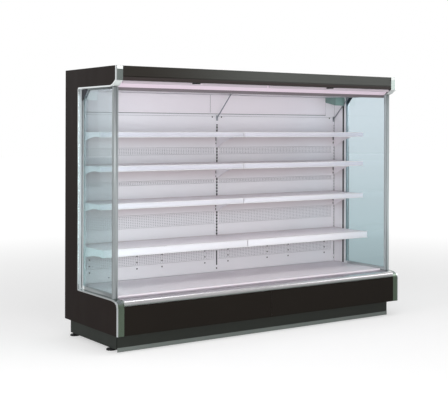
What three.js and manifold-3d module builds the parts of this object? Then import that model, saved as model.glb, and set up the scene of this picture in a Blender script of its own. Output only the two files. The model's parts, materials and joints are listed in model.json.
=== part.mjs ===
// An open multideck display fridge: two shelf bays between C-shaped foamed end panels.
// Millimetres, +Z up, X along the length. Inside the cabinet group y is measured from the
// front face towards the back; the group is centred on the origin, with the floor at z = 0.

import * as THREE from 'three';
import { mergeGeometries, mergeVertices } from 'three/addons/utils/BufferGeometryUtils.js';
import Module from 'manifold-3d';

const wasm = await Module();
wasm.setup();

// ---------------------------------------------------------------- driving dimensions
const bayLength = 1250; // one shelf bay, upright to upright; there are two
const depth = 860;
const height = 2000;
const seat = 0.3; // gap between pieces that rest on each other

const endThickness = 55; // foamed end panel
const toeHeight = 130; // underside of the tank and of the end panels
const sillHeight = 378; // top of the end panel's lower arm, where the side glass stands
const canopyHeight = 145; // end panel's upper arm, from its underside to the top
const columnDepth = 227; // end panel's rear column
const columnRadius = 6; // inner corners of the C
const noseDepth = 95; // rounded front of the lower arm
const noseDrop = 53;
const fasciaSetback = 29; // front of the roof behind the front of the base
const browDepth = 86; // chamfered front of the upper arm
const browRise = 42;
const browKneeDepth = 51;
const browKneeRise = 9;

const trimThickness = 3; // aluminium edge profile round the C
const trimLip = 10;
const trimLipThickness = 1.2;

const glassThickness = 8;
const glassInset = 7; // from the bay's end to the inner face of the glass
const glassBite = 9; // how far an edge of the glass goes into its channel
const channelWall = 6;
const sillChannelHeight = 25;
const channelHeight = 12;
const postWidth = 22;
const postDepth = 25;
const postFront = 92;
const postInset = 16; // from the bay's end to the inner face of the post
const postRadius = 5;

const backWall = 50; // foamed back of the tank
const tankFloor = 55;
const roofThickness = 58;
const roofDrop = 2; // roof below the top of the end panels
const roofSkin = 10; // thin front of the roof over the blind rollers
const tankFrontFace = 8;
const tankFrontWall = 42;
const tankRadius = 30;
const blindBoxGap = 6; // from the lamp diffuser to the front of the foamed roof

const ductDepth = 30; // rear air duct, between the foam and the rear panels
const panelSheet = 3;
const sheet = 2;
const liningDrop = 9; // underside of the canopy lining below the end panel's upper arm
const deckRise = 7; // deck above the end panel's lower arm
const deckFront = 160;
const deckLip = 20;

const fasciaHeight = 103;
const fasciaSheet = 3;
const fasciaGrooveRise = 28; // groove above the fascia's bottom edge
const fasciaGroove = 4;
const fasciaReturn = 21; // bottom flange that the blind bars stop against
const fasciaLean = 7; // top edge behind the groove: the face above it leans back

const rollerRadius = 22;
const filmBuild = 2; // the wound film on top of the roller
const rollerPinRadius = 5;
const rollerPinLength = 12;
const rollerSetback = 78;
const rollerDrop = 38; // roller's axis below the top
const hangerThickness = 6;
const hangerMargin = 15; // from the roller's axis to the edges of the hanger
const runningGap = 0.6;

const blindBarDepth = 11;
const blindBarHeight = 20;
const blindBarClearance = 10; // at each end of a bay
const blindHandleWidth = 80;
const blindHandleDepth = 12;
const blindHandleHeight = 13;
const blindHandleDrop = 2; // grip below the top of the bar

const lampRadius = 8;
const lampCapRadius = 11;
const lampCapLength = 22;
const lampSetback = 103;
const lampDrop = 100;
const diffuserSetback = 64;
const diffuserDepth = 55;
const diffuserRise = 42;
const diffuserDrop = 105; // upper front edge of the diffuser below the top
const diffuserSheet = 2.5;

const outletDepth = 66; // honeycomb air outlet
const outletHeight = 22;
const outletWall = 3;
const outletPitch = 60;
const outletRise = 4; // outlet's lower face above the underside of the lining

const coverHeight = 153;
const coverDrop = 3; // upper cover's top edge below the lining
const coverEnd = 104; // bare wall right of the upper cover
const coverSheet = 2;
const cornerBlockLength = 104;
const cornerBlockDepth = 140;
const cornerBlockHeight = 46;

const uprightWidth = 30;
const endUprightWidth = 22;
const slotWidth = 5;
const slotHeight = 16;
const slotPitch = 25;
const lowestSlotRise = 192; // middle of the lowest slot above the deck
const topSlotDrop = 269; // least drop from the lining to the middle of the top slot
const slotInset = 5.25; // from the end of a bay to the middle of its slots
const shelfPlaces = [0, 0.36, 0.67, 0.94]; // shares of the way from the lowest shelf's slot to the top slot
const shelfDepths = [450, 394, 394, 394];
const shelfDrops = [43, 28, 28, 28]; // front edge below the hooks
const plateAboveHook = 10;
const bracketThickness = 2.5;
const bracketTail = 10; // bottom of the bracket below its lowest hook
const bracketArch = 13; // hollow of the bracket's lower edge
const bracketTip = 10; // width of that bottom
const bracketHeel = 1.5; // rear edge of a bracket in front of the hook's pivot
const hookSteps = [0, 2, 4]; // slots that the hooks of one bracket take, counted down
const hookReach = 7;
const hookHeight = 10;
const trayLip = 12; // turned-in edge under the front of a shelf
const trayRib = 15; // stiffening fold and rear flange below the plate
const shelfRearGap = 12;
const shelfEndGap = 4;
const railDepth = 6;
const railRise = 3; // price rail above the shelf plate
const railSheet = 1.5;
const railLip = 5;

const stayRadius = 4.5;
const stayFootDrop = 192; // foot's middle below the lining
const stayReach = 210;
const stayFootLength = 44;
const stayFootWidth = 18;

const bumperDepth = 60;
const bumperHeight = 42;
const bumperLedge = 8;
const bumperDrop = 10; // top of the bumper below the deck
const bumperCrown = 25; // rounding of its upper front edge
const bumperFoot = 7;
const bumperLip = 4; // ledge under the grille's front edge
const grilleDrop = 12; // grille below the deck
const grilleFlange = 14;
const grillePitch = 50;
const grilleSlotWidth = 30;
const grilleSlotLength = 70;

const panelHoleRadius = 5;
const panelHoleRises = [82, 131, 180]; // above the deck
const panelHoleOffsets = [112, 512]; // to each side of a bay's middle

const plinthSetback = 86;
const plinthOverhang = 8; // the plinth runs under the end panels
const plinthGap = 4;
const plinthFootHeight = 34;
const plinthStep = 1.5;
const plinthFlange = 15;
const railWidth = 30; // side rails of the base frame
const railBottom = 20;
const crossRailWidth = 40;
const crossRailHeight = 60;
const frameBackInset = 2; // rear cross rail in front of the back of the tank

const footRadius = 36;
const footSides = 12;
const footPadHeight = 12;
const footPadBevel = 4;
const footCollarRadius = 15;
const footStemRadius = 6;
const footStemLength = 45; // depth of its threaded socket in the side rail
const footStemGap = 5; // room above the stem in that socket
const footInset = 15; // foot centre inside the outer face of the side rail
const footFrontSetback = 211;
const footRearInset = 45; // rear feet in front of the back

const fanPlateSetback = 240;
const fanRadius = 80;
const fanTipGap = 6;
const shroudSides = 18;
const shroudWall = 4;
const fanBladeCount = 5;
const fanBladePitch = 0.55; // radians
const fanBladeThickness = 2.5;
const fanTipAngle = 0.33; // half the angle that a blade's tip spans, in radians
const fanBladeLead = 26; // bulge of the leading edge
const fanBladeTrail = 22;
const fanRootHalf = 8;
const fanRootBite = 3; // how far a blade's root goes into the hub
const fanHubRadius = 26;
const fanHubLength = 20;
const motorRadius = 30;
const motorLength = 46;
const motorShaftRadius = 4;
const fanBoreRadius = 4.6;
const spiderWidth = 14;
const spiderThickness = 3;
const fanGap = 2; // in front of the blades and behind them

const coilGap = 18; // from the fan motors to the coil
const coilDepth = 310;
const coilHeight = 165;
const coilEndGap = 100;
const finPitch = 60;
const finThickness = 3;
const coilSpine = 12;
const coilTubeRadius = 6;
const bendRadius = 25;
const bendSteps = 6;
const bendSides = 6;
// shares of the coil's depth and height
const bendPlaces = [[0.25, 0.35], [0.55, 0.35], [0.4, 0.7], [0.7, 0.7]];

// ---------------------------------------------------------------- derived places
const bays = [['left', -bayLength / 2], ['right', bayLength / 2]];
const innerHalf = bayLength;
const innerLength = 2 * innerHalf;
const fittedLength = innerLength - 2 * seat; // what seats between the end panels
const soffitHeight = height - canopyHeight;
const columnFront = depth - columnDepth;
const roofTop = height - roofDrop;
const soffitPanelHeight = soffitHeight - liningDrop;
const deckHeight = sillHeight + deckRise;
const grilleHeight = deckHeight - grilleDrop;
const tankFrontTop = deckHeight - bumperHeight - bumperDrop;
const fasciaBottom = height - fasciaHeight;
const fasciaGrooveHeight = fasciaBottom + fasciaGrooveRise;
const rollerHeight = height - rollerDrop;
const diffuserBack = diffuserSetback + diffuserDepth;
const diffuserTop = height - diffuserDrop;
const diffuserBottom = diffuserTop - diffuserRise;
const blindBoxBack = diffuserBack + blindBoxGap;
const rearPlane = depth - backWall - ductDepth; // front face of the rear panels
const webFront = rearPlane - sheet; // front face of the uprights
const coverFront = webFront - seat - coverSheet;
const tankFloorTop = toeHeight + tankFloor;

// ---------------------------------------------------------------- finishes
function finish(color, roughness, metalness = 0) {
  return new THREE.MeshStandardMaterial({ color, roughness, metalness });
}
const brownSteel = finish(0x332a28, 0.35);
const aluminium = finish(0xaab2ac, 0.35, 0.8);
const whiteSteel = finish(0xe6e4ec, 0.45);
const whitePlastic = finish(0xf2f2f2, 0.5);
const glass = new THREE.MeshStandardMaterial({
  color: 0xb5d2d6, roughness: 0.05, transparent: true, opacity: 0.35,
});
const lampWhite = finish(0xfdf0f4, 0.4);
const darkGrey = finish(0x5a5f5e, 0.6);
const plinthGrey = finish(0x343a35, 0.5);
const blackPlastic = finish(0x1a1a1a, 0.7);
const galvanised = finish(0xa6abad, 0.5, 0.7);
const coilMetal = finish(0xc0c4c6, 0.4, 0.8);

// ---------------------------------------------------------------- form helpers
const axisX = new THREE.Vector3(1, 0, 0);
const axisY = new THREE.Vector3(0, 1, 0);
const axisZ = new THREE.Vector3(0, 0, 1);
const sectionToLength = new THREE.Matrix4().makeBasis(axisY, axisZ, axisX);
const elevationToFront = new THREE.Matrix4().makeBasis(axisX, axisZ, axisY.clone().negate());

function outline(points) {
  return new THREE.Shape(points.map(([a, b]) => new THREE.Vector2(a, b)));
}

function extrude(shape, distance) {
  return new THREE.ExtrudeGeometry(shape, { depth: distance, bevelEnabled: false, curveSegments: 5 });
}

// A (y, z) section run along the length, centred on x = 0.
function alongLength(section, length) {
  return extrude(section, length).applyMatrix4(sectionToLength).translate(-length / 2, 0, 0);
}

// An (x, z) elevation given a thickness from its front face at y backwards.
function frontElevation(shape, y, thickness) {
  return extrude(shape, thickness).applyMatrix4(elevationToFront).translate(0, y + thickness, 0);
}

// An (x, y) plan raised from z.
function raisedPlan(shape, z, rise) {
  return extrude(shape, rise).translate(0, 0, z);
}

function block(x0, x1, y0, y1, z0, z1) {
  const box = new THREE.BoxGeometry(Math.abs(x1 - x0), y1 - y0, z1 - z0);
  return box.translate((x0 + x1) / 2, (y0 + y1) / 2, (z0 + z1) / 2);
}

function rodAlongX(radius, length, sides) {
  return new THREE.CylinderGeometry(radius, radius, length, sides).rotateZ(Math.PI / 2);
}

function rodAlongY(radius, y0, y1, sides) {
  return new THREE.CylinderGeometry(radius, radius, y1 - y0, sides).translate(0, (y0 + y1) / 2, 0);
}

function toSolid(geometry) {
  const bare = geometry.clone();
  bare.deleteAttribute('normal');
  bare.deleteAttribute('uv');
  const merged = mergeVertices(bare, 1e-4);
  return new wasm.Manifold(new wasm.Mesh({
    numProp: 3,
    vertProperties: Float32Array.from(merged.attributes.position.array),
    triVerts: Uint32Array.from(merged.index.array),
  }));
}

function toGeometry(solid) {
  const mesh = solid.getMesh();
  const geometry = new THREE.BufferGeometry();
  geometry.setAttribute('position', new THREE.BufferAttribute(mesh.vertProperties, 3));
  geometry.setIndex(new THREE.BufferAttribute(mesh.triVerts, 1));
  geometry.computeVertexNormals();
  return geometry;
}

function join(...geometries) {
  return toGeometry(geometries.map(toSolid).reduce((whole, piece) => whole.add(piece)));
}

function cut(geometry, ...cutters) {
  return toGeometry(cutters.map(toSolid).reduce((whole, piece) => whole.subtract(piece), toSolid(geometry)));
}

// Cuts a pattern of cutters that stay clear of each other in one pass.
function cutPattern(geometry, cutters) {
  return cut(geometry, mergeGeometries(cutters));
}

// A polyline moved to its right-hand side by a distance, with mitred corners.
function offsetPath(points, distance) {
  return points.map((point, i) => {
    const before = i > 0 ? point.clone().sub(points[i - 1]).normalize() : null;
    const after = i < points.length - 1 ? points[i + 1].clone().sub(point).normalize() : null;
    const first = before ?? after;
    const second = after ?? before;
    const normal = new THREE.Vector2(first.y, -first.x);
    const mitre = normal.clone().add(new THREE.Vector2(second.y, -second.x)).normalize();
    return point.clone().add(mitre.multiplyScalar(distance / mitre.dot(normal)));
  });
}

// ---------------------------------------------------------------- assembly
const cabinet = new THREE.Group();
cabinet.position.y = -depth / 2;

function place(name, geometry, material, x = 0, y = 0, z = 0) {
  const mesh = new THREE.Mesh(geometry, material);
  mesh.name = name;
  mesh.position.set(x, y, z);
  cabinet.add(mesh);
  return mesh;
}

function onBothEnds(build) {
  build('left', -1);
  build('right', 1);
}

// ---------------------------------------------------------------- end panels and their edge trims
// The C's open edge in side view, from the toe over the nose, up the column and out to the brow.
function endEdge(inset) {
  const brow = fasciaSetback;
  const path = new THREE.Path();
  path.moveTo(0, toeHeight);
  path.lineTo(0, sillHeight - noseDrop);
  path.quadraticCurveTo(0, sillHeight, noseDepth, sillHeight);
  path.lineTo(columnFront - columnRadius, sillHeight);
  path.quadraticCurveTo(columnFront, sillHeight, columnFront, sillHeight + columnRadius);
  path.lineTo(columnFront, soffitHeight - columnRadius);
  path.quadraticCurveTo(columnFront, soffitHeight, columnFront - columnRadius, soffitHeight);
  path.lineTo(brow + browDepth, soffitHeight);
  path.lineTo(brow + browKneeDepth, soffitHeight + browKneeRise);
  path.lineTo(brow, soffitHeight + browRise);
  path.lineTo(brow, height);
  return offsetPath(path.getPoints(3), inset);
}

function edgeBand(outerInset, innerInset) {
  return new THREE.Shape([...endEdge(outerInset), ...endEdge(innerInset).reverse()]);
}

function endSlab(inset, thickness) {
  const back = [new THREE.Vector2(depth, height), new THREE.Vector2(depth, toeHeight)];
  return alongLength(new THREE.Shape([...endEdge(inset), ...back]), thickness);
}

const lipOffset = (endThickness - trimLipThickness) / 2;
const endPanel = join(
  endSlab(trimLip + seat, endThickness),
  endSlab(trimThickness + seat, endThickness - 2 * (trimLipThickness + seat)),
);
const edgeTrim = join(
  alongLength(edgeBand(0, trimThickness), endThickness),
  alongLength(edgeBand(0, trimLip), trimLipThickness).translate(lipOffset, 0, 0),
  alongLength(edgeBand(0, trimLip), trimLipThickness).translate(-lipOffset, 0, 0),
);
onBothEnds((side, sign) => {
  const x = sign * (innerHalf + endThickness / 2);
  place(`end_panel_${side}`, endPanel, brownSteel, x);
  place(`edge_trim_${side}`, edgeTrim, aluminium, x);
});

// ---------------------------------------------------------------- side glass in its frame
const beyond = 1; // how far a cutter reaches past the face that it opens
const glassLow = sillHeight + sillChannelHeight - glassBite - channelWall;
const glassHigh = soffitHeight - seat - channelHeight + glassBite;
const glassFrontEdge = postFront + postDepth - glassBite;
const glassRearEdge = columnFront - seat - channelHeight + glassBite;

function glassPane(sign, growth) {
  const inner = sign * (innerHalf + glassInset - growth);
  const outer = sign * (innerHalf + glassInset + glassThickness + growth);
  return block(
    inner, outer, glassFrontEdge - growth, glassRearEdge + growth, glassLow - growth, glassHigh + growth,
  );
}

function glassFrame(sign) {
  const inner = sign * (innerHalf + glassInset - channelWall);
  const outer = sign * (innerHalf + glassInset + glassThickness + channelWall);
  const postInner = sign * (innerHalf + postInset);
  const postOuter = sign * (innerHalf + postInset + postWidth);
  const low = sillHeight + seat;
  const high = soffitHeight - seat;
  const postBack = postFront + postDepth;
  const rear = columnFront - seat;
  const postPlan = new THREE.Shape();
  postPlan.moveTo(postInner, postBack);
  postPlan.lineTo(postInner, postFront + postRadius);
  postPlan.quadraticCurveTo(postInner, postFront, postInner + sign * postRadius, postFront);
  postPlan.lineTo(postOuter - sign * postRadius, postFront);
  postPlan.quadraticCurveTo(postOuter, postFront, postOuter, postFront + postRadius);
  postPlan.lineTo(postOuter, postBack);
  const cutIn = inner - sign * beyond;
  const cutOut = outer + sign * beyond;
  const ring = cut(
    block(inner, outer, postFront + postRadius, rear, low, high),
    block(cutIn, cutOut, postBack, rear - channelHeight, low + sillChannelHeight, high - channelHeight),
    block(cutIn, cutOut, rear - columnRadius, rear + beyond, low - beyond, low + columnRadius),
    block(cutIn, cutOut, rear - columnRadius, rear + beyond, high - columnRadius, high + beyond),
  );
  return cut(join(ring, raisedPlan(postPlan, low, high - low)), glassPane(sign, seat));
}

onBothEnds((side, sign) => {
  place(`side_glass_${side}`, glassPane(sign, 0), glass);
  place(`glass_frame_${side}`, glassFrame(sign), aluminium);
});

// ---------------------------------------------------------------- foamed tank: floor, back and roof
const tankSection = new THREE.Shape();
const tankBack = depth - backWall;
const roofUnderside = roofTop - roofThickness;
tankSection.moveTo(tankFrontFace, toeHeight);
tankSection.lineTo(depth, toeHeight);
tankSection.lineTo(depth, roofTop);
tankSection.lineTo(fasciaSetback + fasciaReturn + seat, roofTop);
tankSection.lineTo(fasciaSetback + fasciaReturn + seat, roofTop - roofSkin);
tankSection.lineTo(blindBoxBack, roofTop - roofSkin);
tankSection.lineTo(blindBoxBack, roofUnderside);
tankSection.lineTo(tankBack - tankRadius, roofUnderside);
tankSection.quadraticCurveTo(tankBack, roofUnderside, tankBack, roofUnderside - tankRadius);
tankSection.lineTo(tankBack, tankFloorTop + tankRadius);
tankSection.quadraticCurveTo(tankBack, tankFloorTop, tankBack - tankRadius, tankFloorTop);
tankSection.lineTo(tankFrontFace + tankFrontWall, tankFloorTop);
tankSection.lineTo(tankFrontFace + tankFrontWall, tankFrontTop);
tankSection.lineTo(tankFrontFace, tankFrontTop);
place('insulated_tank', alongLength(tankSection, fittedLength), whiteSteel);

// ---------------------------------------------------------------- fascia with the roller hanger
const fasciaSection = outline([
  [0, fasciaBottom],
  [0, fasciaGrooveHeight - fasciaGroove],
  [fasciaGroove, fasciaGrooveHeight],
  [0, fasciaGrooveHeight + fasciaGroove],
  [fasciaLean, height - seat],
  [fasciaReturn, height - seat],
  [fasciaReturn, height - seat - fasciaSheet],
  [fasciaLean + fasciaSheet, height - seat - fasciaSheet],
  [fasciaSheet, fasciaGrooveHeight + fasciaGroove + fasciaSheet / 2],
  [fasciaGroove + fasciaSheet, fasciaGrooveHeight],
  [fasciaSheet, fasciaGrooveHeight - fasciaGroove - fasciaSheet / 2],
  [fasciaSheet, fasciaBottom + fasciaSheet],
  [fasciaReturn, fasciaBottom + fasciaSheet],
  [fasciaReturn, fasciaBottom],
]);
const hangerBack = rollerSetback - fasciaSetback + hangerMargin;
const hangerBottom = rollerHeight - hangerMargin;
const hangerTop = roofTop - roofSkin - seat;
const hangerPlate = outline([
  [fasciaSheet / 2, hangerBottom],
  [hangerBack, hangerBottom],
  [hangerBack, hangerTop],
  [fasciaLean + fasciaSheet / 2, hangerTop],
]);
const hangerHole = rodAlongX(rollerPinRadius + runningGap, 2 * hangerThickness, 16);
place('fascia', join(
  alongLength(fasciaSection, fittedLength),
  cut(
    alongLength(hangerPlate, hangerThickness),
    hangerHole.translate(0, rollerSetback - fasciaSetback, rollerHeight),
  ),
), brownSteel, 0, fasciaSetback);

// ---------------------------------------------------------------- night blinds
const filmPlane = rollerSetback - rollerRadius - filmBuild;
const barLength = bayLength - 2 * blindBarClearance;
const barTop = fasciaBottom - seat;

function rollerTurning() {
  const half = bayLength / 2 - seat;
  const barrelEnd = half - rollerPinLength;
  const radius = rollerRadius + filmBuild;
  const profile = [
    [0, -half], [rollerPinRadius, -half], [rollerPinRadius, -barrelEnd],
    [rollerRadius, -barrelEnd], [rollerRadius, -barrelEnd + rollerPinLength],
    [radius, -barrelEnd + rollerPinLength], [radius, barrelEnd - rollerPinLength],
    [rollerRadius, barrelEnd - rollerPinLength], [rollerRadius, barrelEnd],
    [rollerPinRadius, barrelEnd], [rollerPinRadius, half], [0, half],
  ];
  return new THREE.LatheGeometry(profile.map(([r, x]) => new THREE.Vector2(r, x)), 12).rotateZ(-Math.PI / 2);
}

const barSection = new THREE.Shape();
barSection.moveTo(-blindBarDepth / 2, 0);
barSection.lineTo(-blindBarDepth / 2, -blindBarHeight + blindBarDepth / 2);
barSection.absarc(0, -blindBarHeight + blindBarDepth / 2, blindBarDepth / 2, Math.PI, 2 * Math.PI, false);
barSection.lineTo(blindBarDepth / 2, 0);

const gripPlan = new THREE.Shape();
gripPlan.moveTo(-blindHandleWidth / 2, beyond);
gripPlan.quadraticCurveTo(-blindHandleWidth / 2, -blindHandleDepth, -blindHandleWidth / 4, -blindHandleDepth);
gripPlan.lineTo(blindHandleWidth / 4, -blindHandleDepth);
gripPlan.quadraticCurveTo(blindHandleWidth / 2, -blindHandleDepth, blindHandleWidth / 2, beyond);

const blindBar = join(
  alongLength(barSection, barLength),
  raisedPlan(gripPlan, -blindHandleHeight - blindHandleDrop, blindHandleHeight)
    .translate(0, -blindBarDepth / 2, 0),
);
const blindRoller = rollerTurning();
bays.forEach(([side, x]) => {
  place(`blind_roller_${side}`, blindRoller, aluminium, x, rollerSetback, rollerHeight);
  place(`blind_bar_${side}`, blindBar, aluminium, x, filmPlane, barTop);
});

// ---------------------------------------------------------------- canopy lighting and air outlet
// its sheet, measured along Z
const diffuserUpright = diffuserSheet * Math.hypot(1, diffuserRise / diffuserDepth);
const diffuserSection = outline([
  [diffuserSetback, diffuserTop],
  [diffuserBack, diffuserBottom],
  [diffuserBack, diffuserBottom + diffuserUpright],
  [diffuserSetback, diffuserTop + diffuserUpright],
]);
place('lamp_diffuser', alongLength(diffuserSection, fittedLength), lampWhite);

function lampTurning() {
  const half = bayLength / 2 - seat;
  const capEnd = half - lampCapLength;
  const profile = [
    [0, -half], [lampCapRadius, -half], [lampCapRadius, -capEnd], [lampRadius, -capEnd],
    [lampRadius, capEnd], [lampCapRadius, capEnd], [lampCapRadius, half], [0, half],
  ];
  return new THREE.LatheGeometry(profile.map(([r, x]) => new THREE.Vector2(r, x)), 12).rotateZ(-Math.PI / 2);
}
const lampTube = lampTurning();
bays.forEach(([side, x]) => {
  place(`lamp_tube_${side}`, lampTube, lampWhite, x, lampSetback, height - lampDrop);
});

const outletFront = diffuserBack + seat;
const outletBottom = soffitPanelHeight + outletRise;
const outletBack = outletFront + outletDepth;
const outletCount = Math.floor((fittedLength - outletWall) / outletPitch);
const outletCells = Array.from({ length: outletCount }, (_, cell) => {
  const x = (cell - (outletCount - 1) / 2) * outletPitch;
  const half = (outletPitch - outletWall) / 2;
  return block(x - half, x + half, outletFront + outletWall, outletBack - outletWall,
    outletBottom - beyond, outletBottom + outletHeight + beyond);
});
place('air_honeycomb', cutPattern(
  block(
    -fittedLength / 2, fittedLength / 2, outletFront, outletBack, outletBottom, outletBottom + outletHeight,
  ),
  outletCells,
), darkGrey);

// ---------------------------------------------------------------- canopy lining with its corner blocks
const liningFront = outletBack + seat;
const liningBack = coverFront - seat;
const liningSection = outline([
  [liningFront, soffitPanelHeight],
  [liningBack, soffitPanelHeight],
  [liningBack, soffitPanelHeight + sheet],
  [liningFront + sheet, soffitPanelHeight + sheet],
  [liningFront + sheet, outletBottom + outletHeight],
  [liningFront, outletBottom + outletHeight],
]);
const blockTop = soffitPanelHeight + sheet / 2;
function cornerBlock(sign) {
  const endX = sign * (innerHalf - seat);
  const plan = outline([
    [endX, liningBack],
    [endX - sign * cornerBlockLength, liningBack],
    [endX, liningBack - cornerBlockDepth],
  ]);
  return raisedPlan(plan, blockTop - cornerBlockHeight, cornerBlockHeight);
}
place('canopy_lining', join(
  alongLength(liningSection, fittedLength),
  cornerBlock(-1),
  cornerBlock(1),
), whiteSteel);

// ---------------------------------------------------------------- slotted uprights
const lowestSlot = deckHeight + lowestSlotRise;
const slotCount = 1 + Math.floor((soffitPanelHeight - topSlotDrop - lowestSlot) / slotPitch);
const slotHeights = Array.from({ length: slotCount }, (_, slot) => lowestSlot + slot * slotPitch);
const uprightBottom = deckHeight + seat;
const uprightTop = soffitPanelHeight - seat;
const uprightBack = tankBack - seat;

// x0 and x1 are the edges of the web, slotXs the middles of its slot columns.
function upright(x0, x1, slotXs) {
  const slots = slotXs.flatMap((x) => slotHeights.map((z) => block(
    x - slotWidth / 2, x + slotWidth / 2, webFront - beyond, rearPlane + beyond,
    z - slotHeight / 2, z + slotHeight / 2,
  )));
  return join(
    cutPattern(block(x0, x1, webFront, webFront + sheet, uprightBottom, uprightTop), slots),
    block(x0, x0 + sheet, webFront + sheet / 2, uprightBack, uprightBottom, uprightTop),
    block(x1 - sheet, x1, webFront + sheet / 2, uprightBack, uprightBottom, uprightTop),
  );
}
const uprightEdge = innerHalf - seat;
place(
  'upright_left', upright(-uprightEdge, -uprightEdge + endUprightWidth, [-innerHalf + slotInset]), whiteSteel,
);
place('upright_centre', upright(-uprightWidth / 2, uprightWidth / 2, [-slotInset, slotInset]), whiteSteel);
place(
  'upright_right', upright(uprightEdge - endUprightWidth, uprightEdge, [innerHalf - slotInset]), whiteSteel,
);

// ---------------------------------------------------------------- rear duct panels
const rearPanelTop = soffitPanelHeight - seat;

function rearPanel(x0, x1, holeXs) {
  const holes = holeXs.flatMap((x) => panelHoleRises.map((rise) => {
    const hole = rodAlongY(panelHoleRadius, rearPlane - beyond, rearPlane + panelSheet + beyond, 6);
    return hole.translate(x, 0, deckHeight + rise);
  }));
  return cutPattern(block(x0, x1, rearPlane, rearPlane + panelSheet, uprightBottom, rearPanelTop), holes);
}
const panelInner = uprightWidth / 2 + seat;
const panelOuter = uprightEdge - endUprightWidth - seat;
bays.forEach(([side, x]) => {
  const sign = Math.sign(x);
  const holeXs = panelHoleOffsets.flatMap((offset) => [x - offset, x + offset]);
  place(`rear_panel_${side}`, rearPanel(sign * panelInner, sign * panelOuter, holeXs), whiteSteel);
});

const coverTop = soffitPanelHeight - coverDrop;
place('upper_cover', block(
  -innerHalf + seat, innerHalf - coverEnd, coverFront, coverFront + coverSheet,
  coverTop - coverHeight, coverTop,
), whiteSteel);

// ---------------------------------------------------------------- canopy stays
function canopyStay(x) {
  const footY = webFront - seat;
  const footHeight = soffitPanelHeight - stayFootDrop;
  const headTop = soffitPanelHeight - seat;
  const foot = new THREE.Vector3(x, footY - sheet / 2, footHeight);
  const head = new THREE.Vector3(x, footY - stayReach, headTop - sheet / 2);
  const run = head.clone().sub(foot);
  const rod = new THREE.CylinderGeometry(stayRadius, stayRadius, run.length(), 10);
  rod.applyQuaternion(new THREE.Quaternion().setFromUnitVectors(axisY, run.clone().normalize()));
  rod.translate(...foot.clone().add(head).multiplyScalar(0.5).toArray());
  const wide = stayFootWidth / 2;
  const long = stayFootLength / 2;
  const past = 2 * stayRadius + beyond;
  const trimmed = cut(
    rod,
    block(x - past, x + past, footY, footY + past, footHeight - long, footHeight + long),
    block(x - past, x + past, head.y - long, head.y + long, headTop, headTop + past),
  );
  return join(
    trimmed,
    block(x - wide, x + wide, footY - sheet, footY, footHeight - long, footHeight + long),
    block(x - wide, x + wide, head.y - long, head.y + long, headTop - sheet, headTop),
  );
}
const endUprightMiddle = uprightEdge - endUprightWidth / 2;
place('canopy_stay_left', canopyStay(-endUprightMiddle), galvanised);
place('canopy_stay_centre', canopyStay(0), galvanised);
place('canopy_stay_right', canopyStay(endUprightMiddle), galvanised);

// ---------------------------------------------------------------- shelves with hook-in brackets
const hookPivot = webFront + sheet / 2; // middle of the upright's web
const shelfLength = bayLength - 2 * shelfEndGap;
const lowestShelfSlot = hookSteps[hookSteps.length - 1]; // all the hooks of its brackets find a slot
const shelfSlots = shelfPlaces.map(
  (share) => lowestShelfSlot + Math.round(share * (slotCount - 1 - lowestShelfSlot)),
);

// Each shelf and rail is drawn about its hook: y = 0 in the web, z = 0 at the hook's middle.
function bracketProfile(reach, drop) {
  const heel = -bracketHeel;
  const half = hookHeight / 2;
  const top = plateAboveHook - sheet / 2;
  const tail = -(lowestShelfSlot * slotPitch + half + bracketTail);
  const plate = new THREE.Shape();
  plate.moveTo(heel, tail);
  hookSteps.slice().reverse().forEach((step) => {
    const middle = -step * slotPitch;
    plate.lineTo(heel, middle - half);
    plate.lineTo(hookReach, middle - half);
    plate.lineTo(hookReach, middle + half);
    plate.lineTo(heel, middle + half);
  });
  plate.lineTo(heel - half, top);
  plate.lineTo(-reach + sheet / 2, top);
  plate.lineTo(-reach + sheet / 2, -drop);
  plate.bezierCurveTo(-0.75 * reach, -drop + bracketArch, -0.45 * reach, -drop, heel - bracketTip, tail);
  return plate;
}

function shelf(reach, drop) {
  const top = plateAboveHook;
  const under = top - sheet;
  const rear = -shelfRearGap;
  const rib = -reach / 2;
  const tray = outline([
    [rear, top],
    [-reach, top],
    [-reach, -drop],
    [-reach + trayLip, -drop],
    [-reach + trayLip, -drop + sheet],
    [-reach + sheet, -drop + sheet],
    [-reach + sheet, under],
    [rib - sheet, under],
    [rib - sheet, under - trayRib],
    [rib + sheet, under - trayRib],
    [rib + sheet, under],
    [rear - sheet, under],
    [rear - sheet, under - trayRib],
    [rear, under - trayRib],
  ]);
  const bracket = alongLength(bracketProfile(reach, drop), bracketThickness);
  const offset = (shelfLength - bracketThickness) / 2;
  return join(
    alongLength(tray, shelfLength - bracketThickness),
    bracket.clone().translate(-offset, 0, 0),
    bracket.clone().translate(offset, 0, 0),
  );
}

function priceRail(reach, drop) {
  const back = -reach - seat;
  const front = back - railDepth;
  const top = plateAboveHook + railRise;
  const section = outline([
    [back, -drop],
    [back, top],
    [front, top],
    [front, top - railLip],
    [front + railSheet, top - railLip],
    [front + railSheet, top - railSheet],
    [back - railSheet, top - railSheet],
    [back - railSheet, -drop + railSheet],
    [front + railSheet, -drop + railSheet],
    [front + railSheet, -drop + railLip],
    [front, -drop + railLip],
    [front, -drop],
  ]);
  return alongLength(section, shelfLength + shelfEndGap);
}

shelfSlots.forEach((slot, level) => {
  const reach = shelfDepths[level];
  const plate = shelf(reach, shelfDrops[level]);
  const rail = priceRail(reach, shelfDrops[level]);
  bays.forEach(([side, x]) => {
    const name = `${level + 1}_${side}`;
    place(`shelf_${name}`, plate, whiteSteel, x, hookPivot, slotHeights[slot]);
    place(`price_rail_${name}`, rail, whitePlastic, x, hookPivot, slotHeights[slot]);
  });
});

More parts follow.
